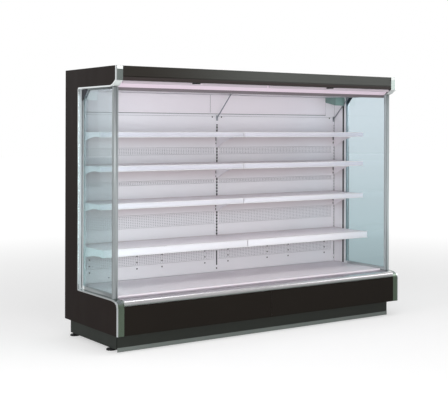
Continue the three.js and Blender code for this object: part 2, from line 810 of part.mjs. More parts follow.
// ---------------------------------------------------------------- base front: panels, bumper, grille, deck
const frontPanelSection = outline([
  [0, toeHeight + seat],
  [0, tankFrontTop - seat],
  [tankFrontFace - seat, tankFrontTop - seat],
  [tankFrontFace - seat, tankFrontTop - seat - sheet],
  [sheet, tankFrontTop - seat - sheet],
  [sheet, toeHeight + seat + sheet],
  [tankFrontFace - seat, toeHeight + seat + sheet],
  [tankFrontFace - seat, toeHeight + seat],
]);
const frontPanel = alongLength(frontPanelSection, bayLength - 2 * seat);
bays.forEach(([side, x]) => {
  place(`front_panel_${side}`, frontPanel, brownSteel, x);
});

const bumperBottom = tankFrontTop + seat;
const bumperTop = bumperBottom + bumperHeight;
const bumperBack = bumperDepth - bumperLedge;
const ledgeTop = grilleHeight - sheet - seat;
const bumperSection = new THREE.Shape();
bumperSection.moveTo(bumperFoot, bumperBottom);
bumperSection.quadraticCurveTo(0, bumperBottom, 0, bumperBottom + bumperFoot);
bumperSection.lineTo(0, bumperTop - bumperCrown);
bumperSection.quadraticCurveTo(0, bumperTop, bumperCrown, bumperTop);
bumperSection.lineTo(bumperBack, bumperTop);
bumperSection.lineTo(bumperBack, ledgeTop);
bumperSection.lineTo(bumperDepth, ledgeTop);
bumperSection.lineTo(bumperDepth, ledgeTop - bumperLip);
bumperSection.lineTo(bumperBack, bumperBottom);
place('bumper_rail', alongLength(bumperSection, fittedLength), aluminium);

const grilleFront = bumperBack + seat;
const grilleBack = deckFront - seat;
const grilleMiddle = (bumperDepth + deckFront) / 2;
const grilleCount = Math.floor((fittedLength - grillePitch / 2) / grillePitch);
const grilleSlots = Array.from({ length: grilleCount }, (_, slot) => {
  const x = (slot - (grilleCount - 1) / 2) * grillePitch;
  return block(x - grilleSlotWidth / 2, x + grilleSlotWidth / 2, grilleMiddle - grilleSlotLength / 2,
    grilleMiddle + grilleSlotLength / 2, grilleHeight - sheet - beyond, grilleHeight + beyond);
});
const grilleEnd = fittedLength / 2;
place('return_grille', join(
  cutPattern(
    block(-grilleEnd, grilleEnd, grilleFront, grilleBack, grilleHeight - sheet, grilleHeight),
    grilleSlots,
  ),
  block(
    -grilleEnd, grilleEnd, grilleBack - sheet, grilleBack,
    grilleHeight - grilleFlange, grilleHeight - sheet / 2,
  ),
), aluminium);

const deckBack = webFront - 2 * seat;
const deckSection = outline([
  [deckFront, deckHeight],
  [deckFront, deckHeight - deckLip],
  [deckFront + sheet, deckHeight - deckLip],
  [deckFront + sheet, deckHeight - sheet],
  [deckBack, deckHeight - sheet],
  [deckBack, deckHeight],
]);
const deckPan = alongLength(deckSection, bayLength - 2 * seat);
bays.forEach(([side, x]) => {
  place(`deck_pan_${side}`, deckPan, whiteSteel, x);
});

// ---------------------------------------------------------------- fan plate, fans and coil under the deck
const fanHeight = (tankFloorTop + deckHeight - sheet) / 2;
const fanPlateTop = deckHeight - sheet - seat;
const fanOpening = fanRadius + fanTipGap;
// how far a twisted blade reaches from its middle
const bladeReach = fanBladeLead * Math.sin(fanBladePitch) + fanBladeThickness;
const fanMiddle = fanPlateSetback + fanGap + bladeReach;
const motorFront = fanMiddle + bladeReach + fanGap + spiderThickness;

function ringAlongY(inner, outer, y0, y1) {
  const profile = [[inner, y0], [outer, y0], [outer, y1], [inner, y1], [inner, y0]];
  return new THREE.LatheGeometry(profile.map(([r, y]) => new THREE.Vector2(r, y)), shroudSides);
}

function fanPlate() {
  const half = fittedLength / 2;
  const back = fanPlateSetback + sheet;
  const openings = bays.map(
    ([, x]) => rodAlongY(
      fanOpening, fanPlateSetback - beyond, back + beyond, shroudSides,
    ).translate(x, 0, fanHeight),
  );
  const pieces = [
    cutPattern(block(-half, half, fanPlateSetback, back, tankFloorTop + seat, fanPlateTop), openings),
    block(-half, half, back - sheet / 2, back + deckLip, fanPlateTop - sheet, fanPlateTop),
    block(-half, half, back - sheet / 2, back + deckLip, tankFloorTop + seat, tankFloorTop + seat + sheet),
  ];
  bays.forEach(([, x]) => {
    pieces.push(
      ringAlongY(fanOpening, fanOpening + shroudWall, fanPlateSetback, motorFront).translate(x, 0, fanHeight),
      rodAlongY(motorRadius, motorFront, motorFront + motorLength, shroudSides).translate(x, 0, fanHeight),
      rodAlongY(
        motorShaftRadius, fanMiddle - fanHubLength / 2, motorFront + beyond, 12,
      ).translate(x, 0, fanHeight),
      block(x - fanOpening - shroudWall, x + fanOpening + shroudWall, motorFront - spiderThickness,
        motorFront, fanHeight - spiderWidth / 2, fanHeight + spiderWidth / 2),
    );
  });
  return join(...pieces);
}
place('fan_plate', fanPlate(), galvanised);

function fanWheel() {
  const hub = ringAlongY(fanBoreRadius, fanHubRadius, -fanHubLength / 2, fanHubLength / 2);
  const bladePlan = new THREE.Shape();
  const root = fanHubRadius - fanRootBite;
  const tip = fanRadius;
  const middle = (root + tip) / 2;
  bladePlan.moveTo(root, -fanRootHalf);
  bladePlan.quadraticCurveTo(
    middle, -fanBladeLead, tip * Math.cos(fanTipAngle), -tip * Math.sin(fanTipAngle),
  );
  bladePlan.absarc(0, 0, tip, -fanTipAngle, fanTipAngle, false);
  bladePlan.quadraticCurveTo(middle, fanBladeTrail, root, fanRootHalf);
  const blades = [];
  for (let blade = 0; blade < fanBladeCount; blade += 1) {
    const geometry = new THREE.ExtrudeGeometry(bladePlan, {
      depth: fanBladeThickness, bevelEnabled: false, curveSegments: 3,
    });
    geometry.translate(0, 0, -fanBladeThickness / 2);
    geometry.rotateX(fanBladePitch);
    geometry.rotateX(Math.PI / 2);
    geometry.rotateY((blade * 2 * Math.PI) / fanBladeCount);
    blades.push(geometry);
  }
  return join(hub, ...blades);
}
const fan = fanWheel();
bays.forEach(([side, x]) => {
  place(`fan_${side}`, fan, blackPlastic, x, fanMiddle, fanHeight);
});

// A half turn of tube that stands on the xy plane, its legs side by side along y.
function returnBend() {
  const points = Array.from({ length: bendSteps + 1 }, (_, step) => {
    const angle = (step / bendSteps) * Math.PI;
    return new THREE.Vector3(0, bendRadius * Math.cos(angle), bendRadius * Math.sin(angle));
  });
  const section = new THREE.Shape();
  section.absarc(0, 0, coilTubeRadius, 0, 2 * Math.PI, false);
  return new THREE.ExtrudeGeometry(section, {
    steps: bendSteps, extrudePath: new THREE.CatmullRomCurve3(points),
    bevelEnabled: false, curveSegments: bendSides / 2,
  });
}

// Finned coil: a comb of fins on its base, with rows of return bends at each end.
function evaporatorCoil() {
  const half = innerHalf - coilEndGap;
  const bottom = tankFloorTop + seat;
  const finTop = bottom + coilHeight;
  const spineTop = bottom + coilSpine;
  const front = motorFront + motorLength + coilGap;
  const fins = Math.floor((2 * half - finThickness) / finPitch) + 1;
  const combHalf = ((fins - 1) * finPitch + finThickness) / 2;
  const points = [[-combHalf, bottom], [combHalf, bottom]];
  for (let fin = 0; fin < fins; fin += 1) {
    const right = combHalf - fin * finPitch;
    const left = right - finThickness;
    if (fin > 0) points.push([right, spineTop]);
    points.push([right, finTop], [left, finTop]);
    if (fin < fins - 1) points.push([left, spineTop]);
  }
  const comb = frontElevation(outline(points), front, coilDepth);
  const bends = [-1, 1].flatMap((sign) => bendPlaces.map(([across, up]) => {
    const bend = returnBend().rotateY((sign * Math.PI) / 2);
    return bend.translate(
      sign * (combHalf - finThickness / 2), front + across * coilDepth, bottom + up * coilHeight,
    );
  }));
  return join(comb, ...bends);
}
place('evaporator', evaporatorCoil(), coilMetal);

// ---------------------------------------------------------------- plinth, base frame and feet
const frameHalf = innerHalf + plinthOverhang;
const plinthSection = outline([
  [plinthSetback, plinthGap],
  [plinthSetback, plinthFootHeight],
  [plinthSetback + plinthStep, plinthFootHeight],
  [plinthSetback + plinthStep, toeHeight - seat],
  [plinthSetback + plinthStep + plinthFlange, toeHeight - seat],
  [plinthSetback + plinthStep + plinthFlange, toeHeight - seat - sheet],
  [plinthSetback + plinthStep + sheet, toeHeight - seat - sheet],
  [plinthSetback + plinthStep + sheet, plinthGap],
]);
place('plinth', alongLength(plinthSection, 2 * frameHalf), plinthGrey);

const frameFront = plinthSetback + plinthStep + plinthFlange + seat;
const frameBack = depth - frameBackInset;
const frameTop = toeHeight - seat;
const footRearSetback = depth - footRearInset;
const footX = frameHalf - footInset;
const footPlaces = [
  ['front_left', -footX, footFrontSetback],
  ['front_right', footX, footFrontSetback],
  ['rear_left', -footX, footRearSetback],
  ['rear_right', footX, footRearSetback],
];

function baseFrame() {
  const crossLow = frameTop - crossRailHeight;
  const inside = frameHalf - beyond;
  const frame = join(
    block(-frameHalf, -frameHalf + railWidth, frameFront, frameBack, railBottom, frameTop),
    block(frameHalf - railWidth, frameHalf, frameFront, frameBack, railBottom, frameTop),
    block(-inside, inside, frameFront, frameFront + crossRailWidth, crossLow, frameTop),
    block(-inside, inside, frameBack - crossRailWidth, frameBack, crossLow, frameTop),
    block(
      -crossRailWidth / 2, crossRailWidth / 2, frameFront + beyond, frameBack - beyond,
      crossLow, frameTop,
    ),
  );
  const sockets = footPlaces.map(([, x, y]) => {
    const bore = footStemRadius + runningGap;
    const socket = new THREE.CylinderGeometry(bore, bore, footStemLength + 2 * beyond, 16);
    return socket.rotateX(Math.PI / 2).translate(x, y, railBottom + footStemLength / 2);
  });
  return cut(frame, ...sockets);
}
place('base_frame', baseFrame(), plinthGrey);

function levellingFoot() {
  const collarTop = railBottom - seat;
  const stemTop = railBottom + footStemLength - footStemGap;
  const profile = [
    [0, 0], [footRadius, 0], [footRadius, footPadHeight - footPadBevel],
    [footRadius - footPadBevel, footPadHeight], [footCollarRadius, footPadHeight],
    [footCollarRadius, collarTop], [footStemRadius, collarTop], [footStemRadius, stemTop], [0, stemTop],
  ];
  const turned = profile.map(([r, z]) => new THREE.Vector2(r, z));
  return new THREE.LatheGeometry(turned, footSides).rotateX(Math.PI / 2);
}
const foot = levellingFoot();
footPlaces.forEach(([name, x, y]) => place(`foot_${name}`, foot, blackPlastic, x, y));

const fridge = new THREE.Group();
fridge.add(cabinet);
export default fridge;
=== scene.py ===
"""The looks of an open multideck display fridge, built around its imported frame."""

import json
import math

import bmesh
import bpy
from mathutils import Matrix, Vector


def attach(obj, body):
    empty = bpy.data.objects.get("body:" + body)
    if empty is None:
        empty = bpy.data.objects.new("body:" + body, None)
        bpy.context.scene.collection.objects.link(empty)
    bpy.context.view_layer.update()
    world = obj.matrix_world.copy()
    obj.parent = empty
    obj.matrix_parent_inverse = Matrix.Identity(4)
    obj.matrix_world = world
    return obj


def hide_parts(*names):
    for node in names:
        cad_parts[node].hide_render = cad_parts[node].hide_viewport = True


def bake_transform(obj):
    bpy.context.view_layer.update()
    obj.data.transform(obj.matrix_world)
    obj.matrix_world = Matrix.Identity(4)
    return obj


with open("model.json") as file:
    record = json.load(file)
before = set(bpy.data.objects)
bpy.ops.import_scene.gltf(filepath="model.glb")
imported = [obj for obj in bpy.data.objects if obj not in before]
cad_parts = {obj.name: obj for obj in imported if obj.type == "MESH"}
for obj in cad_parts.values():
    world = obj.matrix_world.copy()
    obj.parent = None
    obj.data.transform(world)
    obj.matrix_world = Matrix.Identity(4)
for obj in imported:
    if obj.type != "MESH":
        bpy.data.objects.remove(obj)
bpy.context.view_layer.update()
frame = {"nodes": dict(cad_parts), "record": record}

NODES = frame["nodes"]
MM = 0.001
FRONT_PLANE = -430
BAY_MIDDLE = 625.0
SIDES = (("left", -1), ("right", 1))


def at(across, depth, rise):
    """A point from mm right of the middle, mm behind the front plane and mm above the floor."""
    return Vector((across, depth + FRONT_PLANE, rise)) * MM


def paint(red, green, blue):
    """A display colour, each part from 0 to 255, as the linear colour that shows as it."""
    parts = (red / 255, green / 255, blue / 255)
    linear = [p / 12.92 if p <= 0.04045 else ((p + 0.055) / 1.055) ** 2.4 for p in parts]
    return (*linear, 1.0)


# -------------------- camera, floor and light

SENSOR = 36.0
CAMERA_LENS = 80.31
CAMERA_SHIFT = (-0.1075, -0.1600)
CAMERA_PLACE = (-4.4517, -6.6123, 1.5520)
CAMERA_PITCH, CAMERA_ROLL, CAMERA_YAW = 0.0007, -0.0027, 0.6242
VIEW_REACH = 200


def place_camera():
    eye = bpy.data.cameras.new("shop_camera")
    eye.sensor_width = SENSOR
    eye.lens = CAMERA_LENS
    eye.shift_x, eye.shift_y = CAMERA_SHIFT
    eye.clip_end = VIEW_REACH
    holder = bpy.data.objects.new("shop_camera", eye)
    holder.location = CAMERA_PLACE
    holder.rotation_euler = (math.pi / 2 + CAMERA_PITCH, CAMERA_ROLL, -CAMERA_YAW)
    bpy.context.scene.collection.objects.link(holder)
    bpy.context.scene.camera = holder


def wire(tree, source, target):
    tree.links.new(source, target)


def math_node(tree, operation, first, second=None, third=None):
    node = tree.nodes.new("ShaderNodeMath")
    node.operation = operation
    for socket, value in zip(node.inputs, (first, second, third)):
        if value is None:
            continue
        if isinstance(value, (int, float)):
            socket.default_value = value
        else:
            wire(tree, value, socket)
    return node.outputs[0]


def ramp(tree, value, start_end, low_high=(0.0, 1.0)):
    """A smooth change from low to high while the value goes from start to end."""
    node = tree.nodes.new("ShaderNodeMapRange")
    node.interpolation_type = "SMOOTHSTEP"
    wire(tree, value, node.inputs["Value"])
    node.inputs["From Min"].default_value, node.inputs["From Max"].default_value = start_end
    node.inputs["To Min"].default_value, node.inputs["To Max"].default_value = low_high
    return node.outputs[0]


def split_place(tree, kind="Object"):
    """The three parts of a place on the piece."""
    split = tree.nodes.new("ShaderNodeSeparateXYZ")
    wire(tree, tree.nodes.new("ShaderNodeTexCoord").outputs[kind], split.inputs[0])
    return split.outputs


def seen_directly(tree, value, mirrored):
    """The value for rays from the camera or through glass, mirrored for those off metal, or 0."""
    path = tree.nodes.new("ShaderNodeLightPath").outputs
    clear = math_node(tree, "MAXIMUM", path["Is Camera Ray"], path["Is Transmission Ray"])
    shine = math_node(tree, "MULTIPLY", path["Is Glossy Ray"], mirrored)
    return math_node(tree, "MAXIMUM", math_node(tree, "MULTIPLY", clear, value), shine)


def mixed_shader(tree, share, first, second):
    mix = tree.nodes.new("ShaderNodeMixShader")
    wire(tree, share, mix.inputs[0])
    wire(tree, first, mix.inputs[1])
    wire(tree, second, mix.inputs[2])
    return mix.outputs[0]


AMBIENT = 0.42
MIRRORED_FRONT, MIRRORED_BACK = 0.20, 0.86
MIRROR_TURN = (-0.35, 0.45)
FLOOR_SIZE = 90
FLOOR_TONE = 0.64
NEAR_GLOW, FAR_GLOW = 0.46, 0.76
GLOW_START, GLOW_END = 2.2, 9.0
LAMP_TINT = (0.96, 0.92, 1.0)


def background(tree, strength):
    node = tree.nodes.new("ShaderNodeBackground")
    node.inputs["Color"].default_value = (1.0, 1.0, 1.0, 1.0)
    node.inputs["Strength"].default_value = strength
    return node.outputs[0]


def light_room():
    """An even white world, darker for what metal mirrors from the front."""
    world = bpy.data.worlds.new("pale_studio")
    world.use_nodes = True
    bpy.context.scene.world = world
    tree = world.node_tree
    tree.nodes.clear()
    out = tree.nodes.new("ShaderNodeOutputWorld")
    depth = split_place(tree, "Generated")["Y"]
    mirrored = ramp(tree, depth, MIRROR_TURN, (MIRRORED_FRONT, MIRRORED_BACK))
    share = seen_directly(tree, 1.0, mirrored)
    both = mixed_shader(tree, share, background(tree, AMBIENT), background(tree, 1.0))
    wire(tree, both, out.inputs["Surface"])


def soft_lamp(name, place, target, size, power, tint=(1.0, 1.0, 1.0), mirrored=True):
    lamp = bpy.data.lights.new(name, "AREA")
    lamp.shape = "RECTANGLE"
    lamp.size, lamp.size_y = size
    lamp.energy = power
    lamp.color = tint
    holder = bpy.data.objects.new(name, lamp)
    holder.location = place
    aim = Vector(target) - Vector(place)
    holder.rotation_euler = aim.to_track_quat("-Z", "Y").to_euler()
    holder.visible_glossy = mirrored
    bpy.context.scene.collection.objects.link(holder)


def lay_floor():
    """A pale floor that keeps its shadows and glows to white where the camera sees it."""
    bpy.ops.object.select_all(action="DESELECT")
    bpy.ops.mesh.primitive_plane_add(size=FLOOR_SIZE, location=(0, 0, 0))
    floor = bpy.context.object
    floor.name = "studio_floor"
    pale = bpy.data.materials.new("pale_floor")
    pale.use_nodes = True
    tree = pale.node_tree
    tree.nodes.clear()
    out = tree.nodes.new("ShaderNodeOutputMaterial")
    matt = tree.nodes.new("ShaderNodeBsdfDiffuse")
    matt.inputs["Color"].default_value = (FLOOR_TONE, FLOOR_TONE, FLOOR_TONE, 1.0)
    glow = tree.nodes.new("ShaderNodeEmission")
    reach = tree.nodes.new("ShaderNodeVectorMath")
    reach.operation = "LENGTH"
    wire(tree, tree.nodes.new("ShaderNodeTexCoord").outputs["Object"], reach.inputs[0])
    rise = ramp(tree, reach.outputs["Value"], (GLOW_START, GLOW_END), (NEAR_GLOW, FAR_GLOW))
    wire(tree, seen_directly(tree, rise, 0.0), glow.inputs["Strength"])
    both = tree.nodes.new("ShaderNodeAddShader")
    wire(tree, matt.outputs[0], both.inputs[0])
    wire(tree, glow.outputs[0], both.inputs[1])
    wire(tree, both.outputs[0], out.inputs["Surface"])
    floor.data.materials.append(pale)


bpy.context.scene.view_settings.view_transform = "Standard"
place_camera()
light_room()
lay_floor()
soft_lamp("front_softbox", (-2.6, -6.2, 1.05), (0, 0, 0.75), (3.6, 2.0), 166, mirrored=False)
soft_lamp("side_softbox", (-5.2, -1.6, 1.8), (0, 0, 1.0), (2.4, 2.4), 76, mirrored=False)
soft_lamp("rim_softbox", (-5.4, 5.6, 2.2), (-1.2, 0, 1.0), (2.6, 3.0), 20, mirrored=False)
soft_lamp("fill_softbox", (6.9, -6.0, 3.1), (0.6, 0, 1.2), (2.8, 2.6), 46)
soft_lamp("top_softbox", (0.0, -2.4, 4.6), (0, 0, 0.6), (4.0, 2.0), 60)
soft_lamp("case_lamp", at(0, 175, 1830), at(0, 480, 900), (2.40, 0.05), 0.6, tint=LAMP_TINT)

# -------------------- shared shader groups

NUMBER, COLOUR, DIRECTION = "NodeSocketFloat", "NodeSocketColor", "NodeSocketVector"
DRIFT_SCALE, DRIFT_DETAIL = 1.7, 3.0
RUB_SCALE, RUB_DETAIL, RUB_STRETCH, RUB_SWING = 9.0, 6.0, (1.0, 1.0, 0.4), 0.16
PEEL_DETAIL, LINE_DETAIL = 2.0, 3.0
CLOUD_SCALE, CLOUD_DETAIL = 3.1, 4.0
LINE_SWING, CLOUD_SWING, SMEAR_SWING = 0.10, 0.12, 0.14


def new_group(name, inputs, outputs):
    """A shader group with plain sockets: inputs as (name, kind, value), outputs as (name, kind)."""
    group = bpy.data.node_groups.new(name, "ShaderNodeTree")
    for label, kind, value in inputs:
        socket = group.interface.new_socket(label, in_out="INPUT", socket_type=kind)
        socket.default_value = value
    for label, kind in outputs:
        group.interface.new_socket(label, in_out="OUTPUT", socket_type=kind)
    given = group.nodes.new("NodeGroupInput").outputs
    return group, given, group.nodes.new("NodeGroupOutput").inputs


def stretched_noise(tree, place, scale, detail, stretch=(1.0, 1.0, 1.0)):
    """Noise on the given coordinates, with each axis scaled by stretch first."""
    turn = tree.nodes.new("ShaderNodeMapping")
    turn.inputs["Scale"].default_value = stretch
    wire(tree, place, turn.inputs["Vector"])
    noise = tree.nodes.new("ShaderNodeTexNoise")
    noise.inputs["Detail"].default_value = detail
    if isinstance(scale, float):
        noise.inputs["Scale"].default_value = scale
    else:
        wire(tree, scale, noise.inputs["Scale"])
    wire(tree, turn.outputs[0], noise.inputs["Vector"])
    return noise.outputs["Fac"]


def colour_mix(tree, share, first, second):
    node = tree.nodes.new("ShaderNodeMix")
    node.data_type = "RGBA"
    for socket, value in zip((node.inputs[0], *node.inputs[6:8]), (share, first, second)):
        if isinstance(value, (int, float, tuple)):
            socket.default_value = value
        else:
            wire(tree, value, socket)
    return node.outputs[2]


def scaled(tree, colour, level):
    """The colour made lighter or darker by a number."""
    node = tree.nodes.new("ShaderNodeVectorMath")
    node.operation = "SCALE"
    wire(tree, colour, node.inputs[0])
    wire(tree, level, node.inputs["Scale"])
    return node.outputs[0]


def swung(tree, noise, swing, middle):
    """The middle value, moved up and down by the noise."""
    raised = math_node(tree, "MULTIPLY_ADD", noise, swing, middle)
    return math_node(tree, "SUBTRACT", raised, swing / 2)


def make_coat_group():
    """Paint: slow tone drift, fine orange peel and faint handling marks in its gloss."""
    group, given, made = new_group(
        "sprayed_coat",
        [("Colour", COLOUR, (0.5, 0.5, 0.5, 1.0)), ("Drift", NUMBER, 0.08),
         ("Gloss", NUMBER, 0.4), ("Peel", NUMBER, 420.0)],
        [("Colour", COLOUR), ("Roughness", NUMBER), ("Peel Height", NUMBER)],
    )
    place = group.nodes.new("ShaderNodeTexCoord").outputs["Object"]
    slow = stretched_noise(group, place, DRIFT_SCALE, DRIFT_DETAIL)
    tone = math_node(group, "SUBTRACT", slow, 0.5)
    level = math_node(group, "ADD", math_node(group, "MULTIPLY", tone, given["Drift"]), 1.0)
    wire(group, scaled(group, given["Colour"], level), made["Colour"])
    marks = stretched_noise(group, place, RUB_SCALE, RUB_DETAIL, RUB_STRETCH)
    wire(group, swung(group, marks, RUB_SWING, given["Gloss"]), made["Roughness"])
    fine = stretched_noise(group, place, given["Peel"], PEEL_DETAIL)
    wire(group, fine, made["Peel Height"])
    return group


def make_metal_group():
    """Drawn metal: long fine lines along one axis and a slow cloudiness."""
    group, given, made = new_group(
        "drawn_metal",
        [("Colour", COLOUR, (0.6, 0.6, 0.6, 1.0)), ("Gloss", NUMBER, 0.3),
         ("Stretch", DIRECTION, (0.02, 1.0, 1.0)), ("Line", NUMBER, 900.0)],
        [("Colour", COLOUR), ("Roughness", NUMBER), ("Line Height", NUMBER)],
    )
    place = group.nodes.new("ShaderNodeTexCoord").outputs["Object"]
    drawn = group.nodes.new("ShaderNodeVectorMath")
    drawn.operation = "MULTIPLY"
    wire(group, place, drawn.inputs[0])
    wire(group, given["Stretch"], drawn.inputs[1])
    lines = stretched_noise(group, drawn.outputs[0], given["Line"], LINE_DETAIL)
    cloud = stretched_noise(group, place, CLOUD_SCALE, CLOUD_DETAIL)
    shade = swung(group, lines, LINE_SWING, 1.0)
    level = math_node(group, "MULTIPLY", shade, swung(group, cloud, CLOUD_SWING, 1.0))
    wire(group, scaled(group, given["Colour"], level), made["Colour"])
    wire(group, swung(group, cloud, SMEAR_SWING, given["Gloss"]), made["Roughness"])
    wire(group, lines, made["Line Height"])
    return group


COAT_GROUP = make_coat_group()
METAL_GROUP = make_metal_group()

# -------------------- finishes

PEEL_DEPTH, PEEL_STRENGTH = 0.00004, 0.5
LINE_DEPTH, LINE_STRENGTH = 0.00003, 0.4
ALONG_X, ALONG_Z, EVEN = (0.02, 1.0, 1.0), (1.0, 1.0, 0.02), (1.0, 1.0, 1.0)
GLASS_BEND = 1.45
LIP_START = (1.2962, 1.2972)
# Trim: where its painted shade below the sill ends, where its column begins and where its
# painted-light underside begins; below, how far a face turns down to be painted light.
SILL_SHADE_TURN, COLUMN_TURN, UNDERSIDE_LIGHT_TURN = (0.335, 0.365), (0.185, 0.190), (1.80, 1.81)
UNDERSIDE_LIGHT_FACING = (-0.6, -0.5)
# Where the fascia's painted reflection turns from dark to olive grey along X, and where its darker
# foot ends.
FASCIA_SHEEN_TURN, FASCIA_LIP = (-1.15, 0.15), (1.918, 1.926)
# Where the bumper's painted shade ends, and the heights over which the rail inserts go from painted
# light to painted shade.
BUMPER_SHADE_EDGE, INSERT_LIGHT_RANGE = (0.340, 0.350), (0.65, 1.35)
# Where the posts' channel is painted pale as painted light, where the plinth's painted reflection
# ends, and the heights over which the glass's painted shade fades.
CHANNEL_LIGHT_TURN, PLINTH_REFLECTION_STRIP, GLASS_SHADE_RANGE = (0.160, 0.170), (0.0335, 0.0345), (0.45, 1.75)
# Below each shelf, a painted shadow: where it is deepest, where it ends, and how far down it fades.
SHELF_SHADES = (
    (1.515, 1.540, 0.13), (1.232, 1.290, 0.13), (0.950, 1.015, 0.12), (0.606, 0.690, 0.07),
)
SHADE_END = 0.002
REAR_WHITE, REAR_PAINTED_SHADE = paint(240, 239, 243), paint(212, 203, 206)


def new_finish(name):
    finish = bpy.data.materials.new(name)
    finish.use_nodes = True
    tree = finish.node_tree
    return finish, tree, tree.nodes["Principled BSDF"]


def add_bump(tree, shader, height, depth, strength):
    bump = tree.nodes.new("ShaderNodeBump")
    bump.inputs["Distance"].default_value = depth
    bump.inputs["Strength"].default_value = strength
    wire(tree, height, bump.inputs["Height"])
    wire(tree, bump.outputs[0], shader.inputs["Normal"])


def shared_node(tree, shader, group, **values):
    """Places a shared group with its own values, and feeds its colour and gloss to the shader."""
    node = tree.nodes.new("ShaderNodeGroup")
    node.node_tree = group
    for label, value in values.items():
        node.inputs[label].default_value = value
    wire(tree, node.outputs["Colour"], shader.inputs["Base Color"])
    wire(tree, node.outputs["Roughness"], shader.inputs["Roughness"])
    return node


def coat_finish(name, colour, gloss, drift=0.10, peel=420.0, specular=0.5):
    finish, tree, shader = new_finish(name)
    coat = shared_node(tree, shader, COAT_GROUP, Colour=colour, Drift=drift, Gloss=gloss, Peel=peel)
    shader.inputs["Specular IOR Level"].default_value = specular
    add_bump(tree, shader, coat.outputs["Peel Height"], PEEL_DEPTH, PEEL_STRENGTH)
    return finish


def metal_finish(name, colour, gloss, stretch, metallic=1.0, line=900.0):
    finish, tree, shader = new_finish(name)
    metal = shared_node(
        tree, shader, METAL_GROUP, Colour=colour, Gloss=gloss, Stretch=stretch, Line=line,
    )
    shader.inputs["Metallic"].default_value = metallic
    add_bump(tree, shader, metal.outputs["Line Height"], LINE_DEPTH, LINE_STRENGTH)
    return finish


def graded(tree, axis, start_end, first, second):
    """A colour that changes smoothly along one axis, between two places in metres."""
    return colour_mix(tree, ramp(tree, split_place(tree)[axis], start_end), first, second)


def recoloured(finish, colour):
    """The finish with a changing colour led into its shared group."""
    tree = finish.node_tree
    group = next(node for node in tree.nodes if node.type == "GROUP")
    wire(tree, colour, group.inputs["Colour"])
    return finish


def graded_finish(finish, axis, start_end, first, second):
    """The finish with a colour that changes along one axis."""
    return recoloured(finish, graded(finish.node_tree, axis, start_end, first, second))


def trim_finish(name, column_colour, column_metal):
    """The edge profile: greenish face, darker below the sill as painted shade, bright rounded outer
    lip, and a pale underside of the nose, painted light: faces turned down near the top are lighter
    and not metal.
    """
    finish = metal_finish(name, paint(158, 168, 160), 0.20, ALONG_Z)
    tree = finish.node_tree
    place = split_place(tree)
    lip = ramp(tree, math_node(tree, "ABSOLUTE", place["X"]), LIP_START)
    column = ramp(tree, place["Y"], COLUMN_TURN)
    # Painted shade: the face is darker below the sill.
    raised = ramp(tree, place["Z"], SILL_SHADE_TURN)
    face = colour_mix(tree, raised, paint(115, 131, 114), paint(152, 162, 158))
    face = colour_mix(tree, column, face, column_colour)
    face = colour_mix(tree, lip, face, paint(240, 245, 246))
    # Painted light: faces turned down near the top are pale and not metal.
    facing = tree.nodes.new("ShaderNodeSeparateXYZ")
    wire(tree, tree.nodes.new("ShaderNodeNewGeometry").outputs["Normal"], facing.inputs[0])
    down = ramp(tree, facing.outputs["Z"], UNDERSIDE_LIGHT_FACING, (1.0, 0.0))
    painted_underside = math_node(tree, "MULTIPLY", down, ramp(tree, place["Z"], UNDERSIDE_LIGHT_TURN))
    recoloured(finish, colour_mix(tree, painted_underside, face, paint(232, 238, 236)))
    inner = math_node(tree, "MULTIPLY", column, math_node(tree, "SUBTRACT", 1.0, lip))
    dull = math_node(tree, "MULTIPLY", inner, 1.0 - column_metal)
    shine = math_node(tree, "SUBTRACT", 1.0, math_node(tree, "MAXIMUM", painted_underside, dull))
    wire(tree, shine, tree.nodes["Principled BSDF"].inputs["Metallic"])
    return finish


def post_finish(name, colour):
    """The glass frame: grey anodised posts, and a channel where the glass meets the column painted
    pale, as painted light.
    """
    finish = metal_finish(name, colour, 0.32, ALONG_Z, 0.3)
    return graded_finish(finish, "Y", CHANNEL_LIGHT_TURN, colour, paint(246, 250, 252))


def glass_finish(name, low_colour, high_colour):
    """Tinted glass that lets lamp light through to what is behind it, its tint deeper near the
    floor as painted shade.
    """
    finish, tree, shader = new_finish(name)
    tint = graded(tree, "Z", GLASS_SHADE_RANGE, low_colour, high_colour)
    wire(tree, tint, shader.inputs["Base Color"])
    shader.inputs["Roughness"].default_value = 0.0
    shader.inputs["IOR"].default_value = GLASS_BEND
    shader.inputs["Transmission Weight"].default_value = 1.0
    clear = tree.nodes.new("ShaderNodeBsdfTransparent")
    wire(tree, tint, clear.inputs["Color"])
    shadow = tree.nodes.new("ShaderNodeLightPath").outputs["Is Shadow Ray"]
    both = mixed_shader(tree, shadow, shader.outputs[0], clear.outputs[0])
    wire(tree, both, tree.nodes["Material Output"].inputs["Surface"])
    return finish


def lit_finish(name, colour, glow, strength):
    """Opal plastic with lamps behind it."""
    finish, tree, shader = new_finish(name)
    shader.inputs["Base Color"].default_value = colour
    shader.inputs["Roughness"].default_value = 0.35
    shader.inputs["Emission Color"].default_value = glow
    shader.inputs["Emission Strength"].default_value = strength
    return finish


def fascia_finish():
    """The canopy: its own dark brown paint along its foot, and above that a painted reflection,
    dark at the left and olive grey at the right.
    """
    finish = coat_finish("fascia_paint_and_painted_sheen", paint(80, 80, 76), 0.38, 0.10, specular=0.2)
    painted_sheen = graded(finish.node_tree, "X", FASCIA_SHEEN_TURN, paint(41, 38, 34), paint(79, 81, 78))
    return graded_finish(finish, "Z", FASCIA_LIP, paint(55, 49, 48), painted_sheen)


